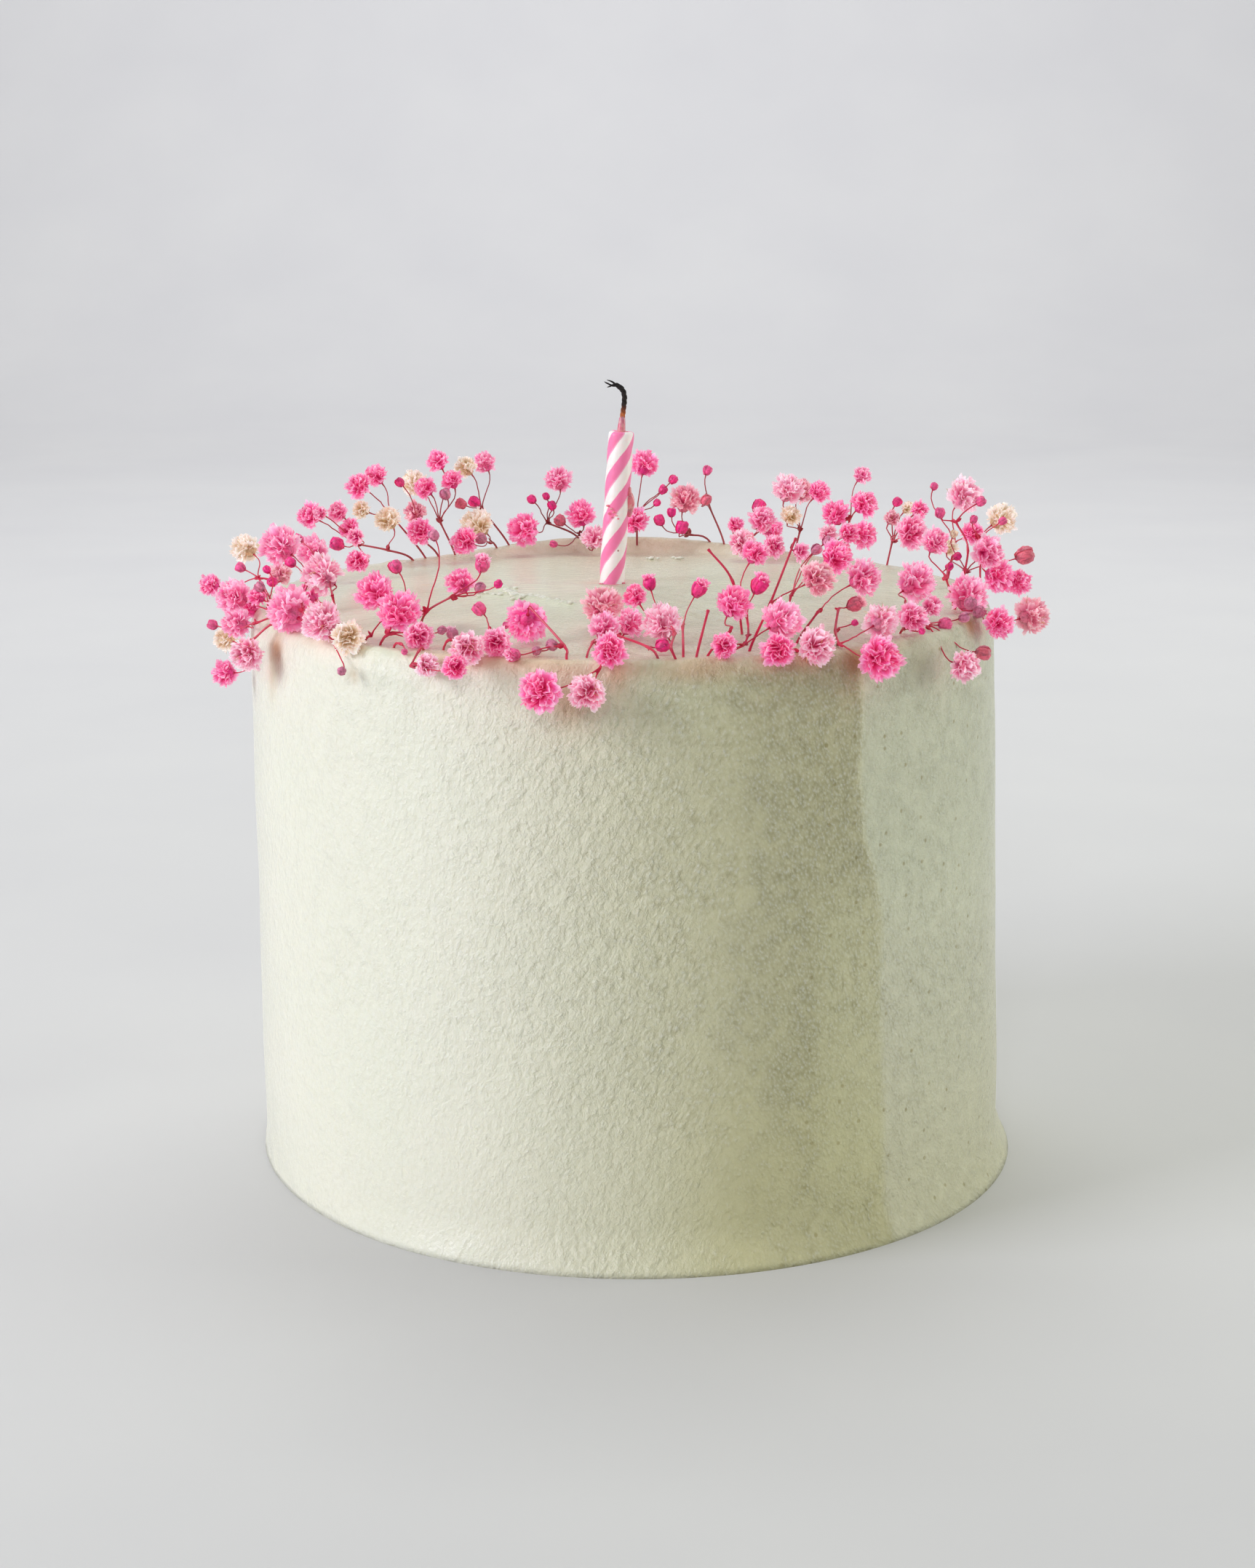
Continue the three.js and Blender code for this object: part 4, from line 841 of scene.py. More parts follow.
# Each sprig: where its stem leaves the frosting, then the points of its stem, and at each point the
# heads that branch off there. A head is its tint and kind, its diameter, and its middle's x and y
# and its height above the rim.
sprigs = [
    # Left
    {"foot": (-64.5, -48), "stem": [
        {"at": (-66, -50, 3), "heads": [("rose turned", 9.5, -71, -42.5, 5.5)]},
        {"at": (-67.5, -47.5, 6), "heads": [
            ("hot bud", 2.5, -72.5, -25, 13), ("rose bud", 2.5, -72.5, -10, 16),
            ("rose bloom", 8.5, -75.5, -20, 16), ("hot bloom", 5.5, -69.5, -20, 5)]}]},
    {"foot": (-70, -32.5), "stem": [
        {"at": (-75, -32, 2.5), "heads": []},
        {"at": (-79.5, -31.5, 1), "heads": [
            ("rose bloom", 6.5, -85.5, -20, -1), ("hot bloom", 4.5, -83.5, -12, 1),
            ("rose bud", 2.5, -92, -10, -3)]}]},
    {"foot": (-71.5, -28.5), "stem": [
        {"at": (-77.5, -24, 2.5), "heads": [
            ("rose bloom", 7.5, -86.5, -15, 4), ("hot bloom", 4.5, -81, -17, 4.5),
            ("grey bud", 2.5, -80, -20, 7), ("hot bud", 2, -79, -15, 10)]}]},
    {"foot": (-77, -18), "stem": [
        {"at": (-83, 2, 5.5), "heads": [
            ("hot bloom", 5, -94.5, 5, 3.5), ("rose bud", 2.5, -87.5, 5, 7.5),
            ("cream bloom", 6.5, -87.5, 15, 10.5),
            ("peach bloom", 5, -78.5, 5, 6), ("hot bud", 2.5, -78.5, -10, 6.5)]}]},
    {"foot": (-70, -37), "stem": [
        {"at": (-75, -38, 2), "heads": []},
        {"at": (-79.5, -38, -1.5), "heads": [
            ("blush bloom", 7, -80.5, -41.5, -4), ("hot bloom", 5.5, -88, -22, -11.5),
            ("cream bloom", 5.5, -90, -5, -7)]}]},
    {"foot": (-57.5, -52), "stem": [
        {"at": (-60.5, -57.5, 2), "heads": [
            ("blush bloom", 8, -63, -56, 5.5), ("grey bud", 2, -58, -66, -3),
            ("cream bloom", 6.5, -57, -62, 3)]}]},
    {"foot": (-61, -39.5), "stem": [
        {"at": (-62, -42, 8.5), "heads": [
            ("blush bloom", 8.5, -65, -35, 12), ("rose bloom", 7, -70, -5, 12.5)]}]},

    # Front, left of the middle
    {"foot": (-54, -58), "stem": [
        {"at": (-52.5, -59.5, 3), "heads": [("hot bloom", 8, -52.5, -50, 10.5)]}]},
    {"foot": (-50.5, -60.5), "stem": [
        {"at": (-49, -61, 3.5), "heads": [
            ("hot bloom", 8.5, -47, -57, 7.5), ("rose bud", 3, -48.5, -45, 15),
            ("rose bloom", 6, -42.5, -63, 3.5), ("grey bud", 2, -38, -62, 4.5)]}]},
    {"foot": (-47.5, -63.5), "stem": [
        {"at": (-46, -66, 2.5), "heads": [("rose bud", 1.5, -45, -69.5, 1.5)]}]},
    {"foot": (-41.5, -67.5), "stem": [
        {"at": (-42, -71, 2), "heads": []},
        {"at": (-43.5, -74.5, -0.5), "heads": [
            ("blush turned", 5, -40, -76, 0), ("hot bloom", 5, -34, -84, 1)]}]},
    {"foot": (-43.5, -48), "stem": [
        {"at": (-41.5, -54, 7), "heads": [
            ("grey bud", 2.5, -40.5, -45, 21.5), ("grey bud", 2.5, -44, -50, 6)]},
        {"at": (-37, -48, 9), "heads": [
            ("hot bloom", 6, -35.5, -40, 11), ("rose half", 4, -30.5, -45, 15.5),
            ("hot bud", 2, -27, -50, 12), ("grey bud", 2.5, -31, -45, 10.5)]}]},
    {"foot": (-37.5, -64), "stem": [
        {"at": (-36.5, -65, 3), "heads": [
            ("grey half", 3, -36, -60, 3.5), ("blush bloom", 6.5, -32, -78, 3.5)]}]},
    {"foot": (-26, -70), "stem": [
        {"at": (-28, -66, 5), "heads": [
            ("rose bud", 3, -30.5, -60, 8.5), ("rose bud", 1.5, -25, -62, 5.5),
            ("rose bloom", 6, -26.5, -74.5, 4)]}]},
    {"foot": (-12.5, -78.5), "stem": [
        {"at": (-13, -75, 3.5), "heads": [
            ("rose half", 3.5, -23, -79, 2.5), ("grey bud", 2, -18.5, -75, 2.5),
            ("grey bud", 2.5, -15.5, -74, 3.5)]},
        {"at": (-20, -67, 10), "heads": [("hot turned", 8, -21, -61, 6)]}]},
    {"foot": (-5, -79.5), "stem": [
        {"at": (-6, -84, 0.5), "heads": [
            ("hot bloom", 8, -17.5, -89, -3), ("blush bloom", 7, -8.5, -88, -3.5)]}]},

    # Front, middle
    {"foot": (-8.5, -77), "stem": [
        {"at": (-7.5, -72, 3.5), "heads": [
            ("rose bloom", 6.5, -5, -62, 5), ("peach bloom", 8, -5.5, -48, 7)]}]},
    {"foot": (-2, -77), "stem": [
        {"at": (-2.5, -78.5, 2), "heads": [("hot bloom", 6.5, -4, -83.5, 4)]}]},
    {"foot": (5.5, -79), "stem": [
        {"at": (3.5, -74, 3), "heads": [("hot bud", 3, 6.5, -72, 3)]},
        {"at": (-2.5, -66, 4), "heads": [("rose bloom", 6, 0, -57, 5)]}]},
    {"foot": (9, -79), "stem": [
        {"at": (8, -78, 3.5), "heads": []},
        {"at": (9, -70, 5), "heads": [
            ("blush bloom", 8, 6.5, -62, 6), ("hot bloom", 5, 1, -50, 9.5),
            ("hot half", 3.5, 4, -52, 12.5)]}]},
    {"foot": (10.5, -76), "stem": [
        {"at": (10.5, -70, 6.5), "heads": [("hot half", 4, 14, -60, 12.5)]}]},
    {"foot": (13, -78), "stem": [
        {"at": (15.5, -72, 10), "heads": []}]},
    {"foot": (23, -53), "stem": [
        {"at": (21, -54, 13), "heads": []},
        {"at": (16, -53, 19.5), "heads": []}]},
    {"foot": (15.5, -75.5), "stem": [
        {"at": (20, -70, 5.5), "heads": [("hot bloom", 7, 21, -60, 9.5)]}]},
    {"foot": (18.5, -77), "stem": [
        {"at": (22.5, -72, 3), "heads": [("hot bloom", 5, 18.5, -78, 4), ("rose turned", 8, 30.5, -66, 7)]},
        {"at": (23.5, -68, 4), "heads": [
            ("hot half", 4.5, 26.5, -55, 12.5), ("hot bloom", 5.5, 26, -45, 17.5)]}]},
    {"foot": (24, -68), "stem": [
        {"at": (28.5, -58, 9), "heads": [("peach bloom", 7, 38.5, -53, 13.5)]},
        {"at": (34.5, -42, 20), "heads": [("rose bloom", 4, 36, -37, 16.5)]}]},
    {"foot": (30.5, -64), "stem": [
        {"at": (33, -52, 9.5), "heads": [
            ("grey bud", 2.5, 39, -40, 17.5), ("grey bud", 2.5, 41.5, -38, 19),
            ("hot bloom", 7, 43, -44, 16.5)]}]},

    # Front, right of the middle
    {"foot": (34, -60), "stem": [
        {"at": (38.5, -53.5, 6.5), "heads": [("rose bloom", 7.5, 49, -40, 11.5)]}]},
    {"foot": (42, -63), "stem": [
        {"at": (42, -66, 2), "heads": [
            ("blush turned", 7, 51.5, -54, 4.5), ("hot bloom", 8.5, 50, -71, 0)]},
        {"at": (41.5, -62, 4), "heads": [("hot bud", 1.5, 46, -55, 4.5)]},
        {"at": (42.5, -56, 7.5), "heads": [("peach half", 4, 46.5, -50, 7.5)]}]},
    {"foot": (33.5, -71), "stem": [
        {"at": (32.5, -72.5, 2), "heads": [
            ("hot bloom", 6.5, 29, -78, 3), ("blush bloom", 7.5, 37, -74, 3)]}]},
    {"foot": (57.5, -40), "stem": [
        {"at": (57.5, -42, 6), "heads": [("rose bloom", 8.5, 61, -30, 9)]}]},
    {"foot": (60, -44.5), "stem": [
        {"at": (61.5, -46, 2.5), "heads": [
            ("rose bloom", 4.5, 63.5, -38, 5), ("peach bud", 3.5, 74, -43, -4),
            ("blush bloom", 6.5, 69, -53, -5),
            ("grey bud", 2.5, 70.5, -37, 2.5), ("rose bud", 3, 66, -42, 2)]}]},
    {"foot": (56, -49.5), "stem": [
        {"at": (56.5, -51, 2.5), "heads": [
            ("rose bloom", 6, 58, -54, 5.5), ("hot bud", 1.5, 59.5, -57, 3)]}]},

    # Right
    {"foot": (71, -17), "stem": [
        {"at": (74.5, -8, 12.5), "heads": []},
        {"at": (72, -6, 18.5), "heads": [
            ("rose bud", 2.5, 68.5, -5, 20.5), ("rose bud", 2.5, 77.5, -5, 23)]}]},
    {"foot": (71, -12), "stem": [
        {"at": (68.5, -20, 8), "heads": [
            ("rose bloom", 6, 66.5, -15, 15.5), ("hot bud", 2, 70, -12, 9.5),
            ("hot bud", 2, 72, -10, 11.5)]}]},
    {"foot": (76, -19), "stem": [
        {"at": (77.5, -5, 14.5), "heads": [
            ("rose bloom", 7, 78.5, -11, 12.5), ("cream bloom", 7, 83, 0, 18.5),
            ("rose bud", 2, 82, -8, 19),
            ("rose bud", 2, 76, -5, 19), ("hot bloom", 7, 81.5, -7, 6.5),
            ("hot bloom", 5.5, 86.5, -5, 5)]}]},
    {"foot": (74, -26), "stem": [
        {"at": (75, -27, 1.5), "heads": [
            ("rose bloom", 8.5, 73, -22, 5), ("grey bud", 3, 74.5, -30, 2.5),
            ("grey bud", 3, 72.5, -31, 4.5),
            ("hot bloom", 6.5, 78.5, -32.5, 0.5), ("peach bloom", 8, 89.5, -5, -2.5)]}]},
    {"foot": (74, 8), "stem": [
        {"at": (76, 9, 5), "heads": [
            ("peach bud", 4.5, 89, 5, 9.5), ("cream bud", 2.5, 83.5, 15, 10.5),
            ("cream bloom", 4, 73, 15, 10), ("cream bud", 2, 74, 15, 13)]}]},
    {"foot": (74, 25), "stem": [
        {"at": (75.5, 26, 9), "heads": [
            ("hot bloom", 5.5, 79, 20, 12.5), ("blush bloom", 8, 78, 30, 20),
            ("rose bud", 2, 71.5, 35, 21.5)]}]},

    # Back, from right to left
    {"foot": (62, 48), "stem": [
        {"at": (63, 46.5, 7), "heads": [
            ("hot bud", 2.5, 64, 46, 16.5), ("cream bloom", 3.5, 66.5, 46, 15),
            ("hot bloom", 4.5, 69, 42, 15),
            ("peach bloom", 4, 62.5, 43, 13), ("rose bloom", 7.5, 65.5, 25, 12)]}]},
    {"foot": (52, 58), "stem": [
        {"at": (52.5, 54, 7), "heads": [
            ("hot bloom", 5, 52.5, 46, 9), ("blush bloom", 4.5, 48, 52, 8),
            ("hot bloom", 6.5, 56.5, 50, 8)]},
        {"at": (53.5, 56, 11), "heads": [
            ("hot bloom", 6.5, 50, 56, 12.5), ("hot bloom", 6.5, 57, 54, 15),
            ("rose bloom", 4.5, 56.5, 58, 21.5)]}]},
    {"foot": (41, 66), "stem": [
        {"at": (42, 65, 7), "heads": [
            ("cream bloom", 5, 39.5, 60, 11.5), ("hot bloom", 5.5, 46.5, 62, 17),
            ("blush bloom", 7.5, 39, 64, 17.5), ("peach bloom", 6, 43, 72, 16)]}]},
    {"foot": (30, 70), "stem": [
        {"at": (30, 66, 5), "heads": [
            ("hot bloom", 4, 26, 58, 9.5), ("blush bloom", 6.5, 27.5, 52, 6),
            ("rose bloom", 5.5, 35, 50, 5.5)]},
        {"at": (32, 66, 7), "heads": [
            ("rose bloom", 6.5, 32.5, 60, 10.5), ("hot bloom", 5.5, 35.5, 68, 7),
            ("hot bud", 4, 32, 66, 13)]}]},
    {"foot": (23.5, 73.5), "stem": [
        {"at": (20, 74, 12), "heads": [("rose bud", 2.5, 19.5, 74, 21), ("peach bud", 3, 19, 67, 14.5)]}]},
    {"foot": (19.5, 75), "stem": [
        {"at": (15, 74, 5), "heads": [
            ("peach bloom", 7.5, 14, 72, 14), ("hot bud", 2.5, 10.5, 67, 11.5),
            ("hot bud", 3, 7.5, 68, 9.5), ("hot bud", 3.5, 13, 66, 8)]}]},
    {"foot": (2, 75), "stem": [
        {"at": (2, 75, 10), "heads": [
            ("hot bloom", 7, 4, 76, 22.5), ("hot bloom", 6.5, 1.5, 68, 9.5), ("hot bud", 2.5, 11, 72, 19),
            ("hot bud", 2.5, 8.5, 72, 16.5), ("hot bud", 2, 7, 70, 13.5)]}]},
    {"foot": (-9.5, 77.5), "stem": [
        {"at": (-12, 74, 5), "heads": [
            ("hot bloom", 7, -12, 72, 10.5), ("peach bud", 3, -17, 68, 9.5),
            ("blush bloom", 6.5, -8.5, 66, 5.5), ("rose bud", 2, -18.5, 62, 4.5)]}]},
    {"foot": (-13, 77), "stem": [
        {"at": (-20, 74, 8), "heads": [
            ("hot bloom", 8, -26, 66, 7.5), ("hot bud", 2.5, -24, 70, 14.5), ("hot bud", 2, -20.5, 72, 15),
            ("hot bud", 2.5, -19, 70, 13), ("rose bloom", 6.5, -17.5, 74, 19)]}]},
    {"foot": (-33, 71), "stem": [
        {"at": (-34, 69, 4), "heads": [
            ("cream bloom", 8, -37.5, 64, 9), ("hot bloom", 6.5, -40, 54, 6.5),
            ("grey bud", 3, -36, 58, 6.5)]}]},
    {"foot": (-30, 73), "stem": [
        {"at": (-36, 69, 12), "heads": [
            ("cream bloom", 5.5, -40, 66, 23), ("rose bloom", 5.5, -35.5, 71, 23.5),
            ("hot bud", 3, -38, 66, 14.5), ("peach bud", 3, -41, 62, 14.5)]}]},
    {"foot": (-43, 65), "stem": [
        {"at": (-46, 61, 10), "heads": [
            ("cream bloom", 6.5, -52.5, 64, 19.5), ("hot bloom", 5.5, -49.5, 58, 19),
            ("hot bloom", 5.5, -46.5, 62, 25),
            ("hot bloom", 5, -43, 60, 20.5), ("grey bud", 3, -44.5, 57, 17.5)]}]},
    {"foot": (-47, 62.5), "stem": [
        {"at": (-50, 58, 6), "heads": [
            ("hot bud", 2.5, -55, 52, 21), ("peach bloom", 5.5, -52, 58, 13),
            ("hot bloom", 6.5, -50.5, 52, 9)]}]},
    {"foot": (-50, 60), "stem": [
        {"at": (-57, 51, 13), "heads": [
            ("hot bloom", 6, -64, 42, 21.5), ("hot bloom", 5.5, -60.5, 48, 23),
            ("cream bloom", 4.5, -63.5, 43, 15.5)]}]},
    {"foot": (-53, 57), "stem": [
        {"at": (-58, 49, 5), "heads": [("cream bloom", 6, -57.5, 45, 13)]},
        {"at": (-64, 38, 8), "heads": [
            ("rose bloom", 4, -63.5, 26, 11.5), ("hot bud", 3.5, -68, 28, 9.5),
            ("hot bloom", 5.5, -63, 24, 6),
            ("hot bloom", 6, -74.5, 30, 16), ("rose bloom", 3.5, -71.5, 26, 17),
            ("rose bloom", 5, -68.5, 36, 16),
            ("hot bloom", 5, -65.5, 33, 12.5)]}]},
]


def leafShape(columns, rows, thickness, surface):
    # A thin closed leaf from a grid: surface(u, t) gives a point and the way its face looks,
    # with u from -1 to 1 across and t from 0 at the foot to 1 at the tip.
    bpy.ops.object.select_all(action="DESELECT")
    bpy.ops.mesh.primitive_grid_add(x_subdivisions=columns, y_subdivisions=rows, size=2)
    piece = bpy.context.object
    onFace = len(piece.data.vertices)
    bpy.ops.object.mode_set(mode="EDIT")
    bpy.ops.mesh.select_all(action="SELECT")
    bpy.ops.mesh.duplicate()
    bpy.ops.mesh.flip_normals()
    bpy.ops.object.mode_set(mode="OBJECT")
    flat = readPoints(piece) * mm
    across, along = flat[:, 0], (flat[:, 1] + 1) / 2
    inside = (np.abs(across) < 0.99) & (np.abs(along - 0.5) < 0.49)
    side = np.where(np.arange(len(flat)) < onFace, 0.5, -0.5) * thickness * inside
    points, facing = zip(*[surface(u, t) for u, t in zip(across, along)])
    writePoints(piece, (np.array(points) + np.array(facing) * side[:, None]) / mm)
    writeAttribute(piece, "across", across)
    writeAttribute(piece, "along", along)
    bpy.ops.object.mode_set(mode="EDIT")
    bpy.ops.mesh.select_all(action="SELECT")
    bpy.ops.mesh.remove_doubles(threshold=1e-4)
    bpy.ops.object.mode_set(mode="OBJECT")
    faces = np.array([tuple(face.vertices) for face in piece.data.polygons])
    shape = {"points": readPoints(piece) * mm, "faces": faces}
    for name in ("across", "along"):
        values = np.empty(len(piece.data.vertices))
        piece.data.attributes[name].data.foreach_get("value", values)
        shape[name] = values
    bpy.data.objects.remove(piece)
    return shape


def petalSurface(teeth, curl, wave, phase):
    def surface(u, t):
        half = np.interp(t, (0, 0.33, 0.67, 1), (0.07, 0.2, 0.38, 0.44))
        tooth = teeth[round((u + 1) * 3)] * (1 if t > 0.9 else 0.35 if t > 0.5 else 0)
        ripple = wave * math.sin(phase + 2.8 * u) * t + 0.14 * u * u * t
        return (u * half, t + tooth, ripple - curl * t * t), (0, 0, 1)
    return surface


def sepalSurface(u, t):
    half = np.interp(t, (0, 0.3, 0.6, 0.85, 1), (0.14, 0.34, 0.36, 0.2, 0.03))
    return (u * half, t, -0.5 * half * u * u + 0.25 * t * (1 - t) * 2), (0, 0, 1)


def threadSurface(u, t):
    half = 0.035 * (1 - 0.7 * t)
    return (u * half + 0.1 * math.sin(4 * t), t, 0.12 * math.sin(5 * t)), (0, 0, 1)


def budSurface(u, t):                      # one of five that wrap a bud, each over the edge of the next
    polar = math.pi * (1 - 0.975 * t)
    turn = math.radians(60) * u
    radius = (0.46 + 0.05 * u) * (1 - 0.35 * ease(t, 0.62, 1))
    out = (math.sin(polar) * math.cos(turn), math.sin(polar) * math.sin(turn), math.cos(polar))
    return tuple(np.array(out) * radius * (1, 1, 1.28) + (0, 0, 0.05)), out


shapes = {
    "petals": [leafShape(6, 3, 0.035, petalSurface(*look)) for look in (
        ((-0.18, -0.02, -0.14, 0.05, -0.1, 0.02, -0.16), 0.24, 0.12, 0.4),
        ((-0.08, -0.17, 0.02, -0.12, 0.05, -0.14, -0.02), 0.06, 0.16, 2.1),
        ((-0.2, -0.04, -0.15, 0.03, -0.12, 0.04, -0.08), 0.38, 0.1, 3.6),
        ((-0.04, 0.02, -0.14, 0.0, -0.1, -0.02, -0.2), -0.12, 0.14, 5.0))],
    "sepal": leafShape(4, 4, 0.07, sepalSurface),
    "thread": leafShape(2, 4, 0.04, threadSurface),
    "bud": leafShape(4, 6, 0.05, budSurface),
}
finishes = {"petal": 0, "sepal": 1}


def newBunch():
    return {"points": [], "faces": [], "tint": [], "reach": [], "finish": [], "count": 0}


def put(bunch, shape, axes, place, tint, reach, finish):
    points = shape["points"] @ axes + place
    bunch["points"].append(points)
    bunch["faces"].append(shape["faces"] + bunch["count"])
    bunch["tint"].append(np.broadcast_to(tint, (len(points), 3)))
    bunch["reach"].append(np.broadcast_to(reach, len(points)))
    bunch["finish"].append(np.full(len(shape["faces"]), finishes[finish]))
    bunch["count"] += len(points)


def bunchPiece(name, bunch, materials):
    mesh = bpy.data.meshes.new(name)
    mesh.from_pydata((np.concatenate(bunch["points"]) * mm).tolist(), [],
                     np.concatenate(bunch["faces"]).tolist())
    piece = bpy.data.objects.new(name, mesh)
    bpy.context.scene.collection.objects.link(piece)
    tint = np.concatenate(bunch["tint"])
    writeAttribute(piece, "tint", np.c_[tint, np.ones(len(tint))], "FLOAT_COLOR")
    writeAttribute(piece, "reach", np.concatenate(bunch["reach"]))
    for material in materials:
        mesh.materials.append(material)
    mesh.polygons.foreach_set("material_index", np.concatenate(bunch["finish"]).astype(np.int32))
    return piece


def unit(vector):
    return vector / max(np.linalg.norm(vector), 1e-9)


def aimed(along, face, roll=0.0):          # rows: across, along, facing
    along = unit(along)
    across = unit(np.cross(along, face))
    facing = np.cross(across, along)
    turned = across * math.cos(roll) + facing * math.sin(roll)
    return np.stack([turned, along, np.cross(turned, along)])


def spread(axis):                          # two directions at right angles to the axis
    first = unit(np.cross(axis, (0.31, 0.21, 0.93)))
    return first, np.cross(axis, first)


def jitter(colour, amount):
    light = 1 + dice.uniform(-amount, amount)
    return np.clip(np.array(colour) * light + np.array([0, dice.uniform(-0.02, 0.02), 0]), 0, 1)


goldenAngle = 2.39996                      # radians between one petal and the next, as flowers grow them


def scatter(amount):
    return np.array([dice.gauss(0, amount) for _ in range(3)])


def addPetals(bunch, middle, axis, size, tint, count, widest, length=1.0):
    inner, outer = (np.array(linear(code)[:3]) for code in tints[tint][:2])
    first, second = spread(axis)
    foot = middle - axis * 0.2 * size
    start = dice.uniform(0, 6.28)
    for i in range(count):
        cosine = 1 - (1 - math.cos(math.radians(widest))) * (i + 0.5) / count
        polar = math.acos(cosine) + dice.gauss(0, 0.09)
        turn = start + goldenAngle * i + dice.gauss(0, 0.25)
        side = math.cos(turn) * first + math.sin(turn) * second
        out = side * math.sin(polar) + axis * math.cos(polar)
        tip = middle + out * size * 0.5 * dice.uniform(0.78, 1.08) * length
        base = foot + side * 0.05 * size
        reachOut = tip - base
        aim = unit(reachOut)
        face = axis - aim * float(axis @ aim) + scatter(0.12)
        long = np.linalg.norm(reachOut)
        axes = aimed(reachOut, face, dice.gauss(0, 0.9))
        wide = flowers["petalWidth"] * size * dice.uniform(0.75, 1.2)
        axes = axes * np.array([[wide], [long], [long * 0.9]])
        shape = dice.choice(shapes["petals"])
        points = shape["points"] @ axes + base
        reach = np.clip((np.linalg.norm(points - middle, axis=1) / (0.5 * size) - 0.35) / 0.7, 0, 1)
        pale = (reach ** 1.5 * dice.uniform(0.45, 1.4)).clip(0, 1)[:, None]
        colour = jitter(inner, 0.12) * (1 - pale) + jitter(outer, 0.1) * pale
        put(bunch, shape, axes, base, colour, reach, "petal")


def addThreads(bunch, middle, axis, size, count):
    first, second = spread(axis)
    for _ in range(count):
        turn, polar = dice.uniform(0, 6.28), math.radians(dice.uniform(5, 100))
        side = math.cos(turn) * first + math.sin(turn) * second
        out = side * math.sin(polar) + axis * math.cos(polar)
        long = size * dice.uniform(0.45, 0.62)
        axes = aimed(out, axis + first * 0.3, dice.uniform(0, 6)) * np.array([[size * 0.6], [long], [long]])
        put(bunch, shapes["thread"], axes, middle - axis * 0.1 * size,
            jitter(linear(flowers["thread"])[:3], 0.3), 0.5, "sepal")


def addCup(bunch, middle, axis, size, tint, opening):
    colour = linear(tints[tint][2])[:3]
    first, second = spread(axis)
    foot = middle - axis * 0.44 * size
    start = dice.uniform(0, 6.28)
    for i in range(5):
        turn = start + 2 * math.pi * i / 5
        outward = math.cos(turn) * first + math.sin(turn) * second
        along = axis + outward * opening
        long = size * 0.3 * dice.uniform(0.9, 1.15)
        axes = aimed(along, outward) * np.array([[long * 1.15], [long], [long]])
        # painted shade: each sepal is darker towards its curled sides
        paintedCreaseShade = 1 - 0.35 * np.abs(shapes["sepal"]["across"])[:, None] ** 2
        put(bunch, shapes["sepal"], axes, foot + outward * 0.05 * size, jitter(colour, 0.2) * paintedCreaseShade,
            shapes["sepal"]["along"], "sepal")


def addBud(bunch, middle, axis, size, tint, opening=0.0):
    size = size * flowers["budSize"]
    colour = np.array(linear(tints[tint][3])[:3])
    paintedOverlapShade = np.array(linear(tints[tint][2])[:3]) * 0.5
    first, second = spread(axis)
    shape = shapes["bud"]
    start = dice.uniform(0, 6.28)
    for i in range(5):
        turn = start + 2 * math.pi * i / 5
        side = math.cos(turn) * first + math.sin(turn) * second
        across = np.cross(axis, side)
        lean = unit(axis + side * opening)
        axes = np.stack([side, across, lean]) * size * dice.uniform(0.96, 1.03)
        # painted shade where the scales overlap: each scale is darker at its sides and foot, and in its
        # crumpled dents
        edge = np.clip(np.abs(shape["across"]) ** 4 * 0.7 + 0.5 * bump(shape["along"], 0, 0.25), 0, 1)
        crumple = noiseAt(shape["points"] * (1, 1, 0.4), 0.2, dice.randint(0, 99))[:, None]
        edge = np.clip(edge[:, None] - 1.5 * crumple, 0, 1)
        crumpled = {**shape, "points": shape["points"] * (1 + 0.2 * crumple)}
        shaded = jitter(colour, 0.15) * (1 - edge) + paintedOverlapShade * edge
        put(bunch, crumpled, axes, middle + side * 0.02 * size, shaded, shape["along"], "sepal")


def addHead(bunch, middle, axis, size, look):
    tint, kind = look.split(" ")
    if kind in ("bloom", "turned"):
        addCup(bunch, middle, axis, size, tint, opening=0.75)
        count = max(30, round(flowers["bloomPetals"] * size))
        addPetals(bunch, middle, axis, size, tint, count, flowers["widest"])
        if tint in ("blush", "cream", "peach"):
            addThreads(bunch, middle, axis, size, round(flowers["threads"] * size))
    elif kind == "half":
        addBud(bunch, middle - axis * 0.08 * size, axis, size * 0.84, tint, opening=0.12)
        count = round(flowers["halfPetals"] * size)
        addPetals(bunch, middle + axis * 0.12 * size, axis, size * 0.86, tint, count,
                  flowers["halfWidest"], length=1.1)
        addCup(bunch, middle, axis, size * 0.9, tint, opening=0.45)
    else:
        addBud(bunch, middle, axis, size, tint)
        addCup(bunch, middle, axis, size * 0.95, tint, opening=0.5)


def pegOf(plan):
    x, y = plan["foot"]
    foot = np.array([x, y, topHeight(x, y) + flowers["pegClearance"]])
    first = plan["stem"][0]["at"]
    leaving = unit(np.array([first[0], first[1], frosting["height"] + first[2]]) - foot)
    reach = frosting["topRadius"]
    leaving = unit(leaving + (0.3 * x / reach, 0.3 * y / reach, 1.2))
    return foot, foot - leaving * flowers["pegDepth"]


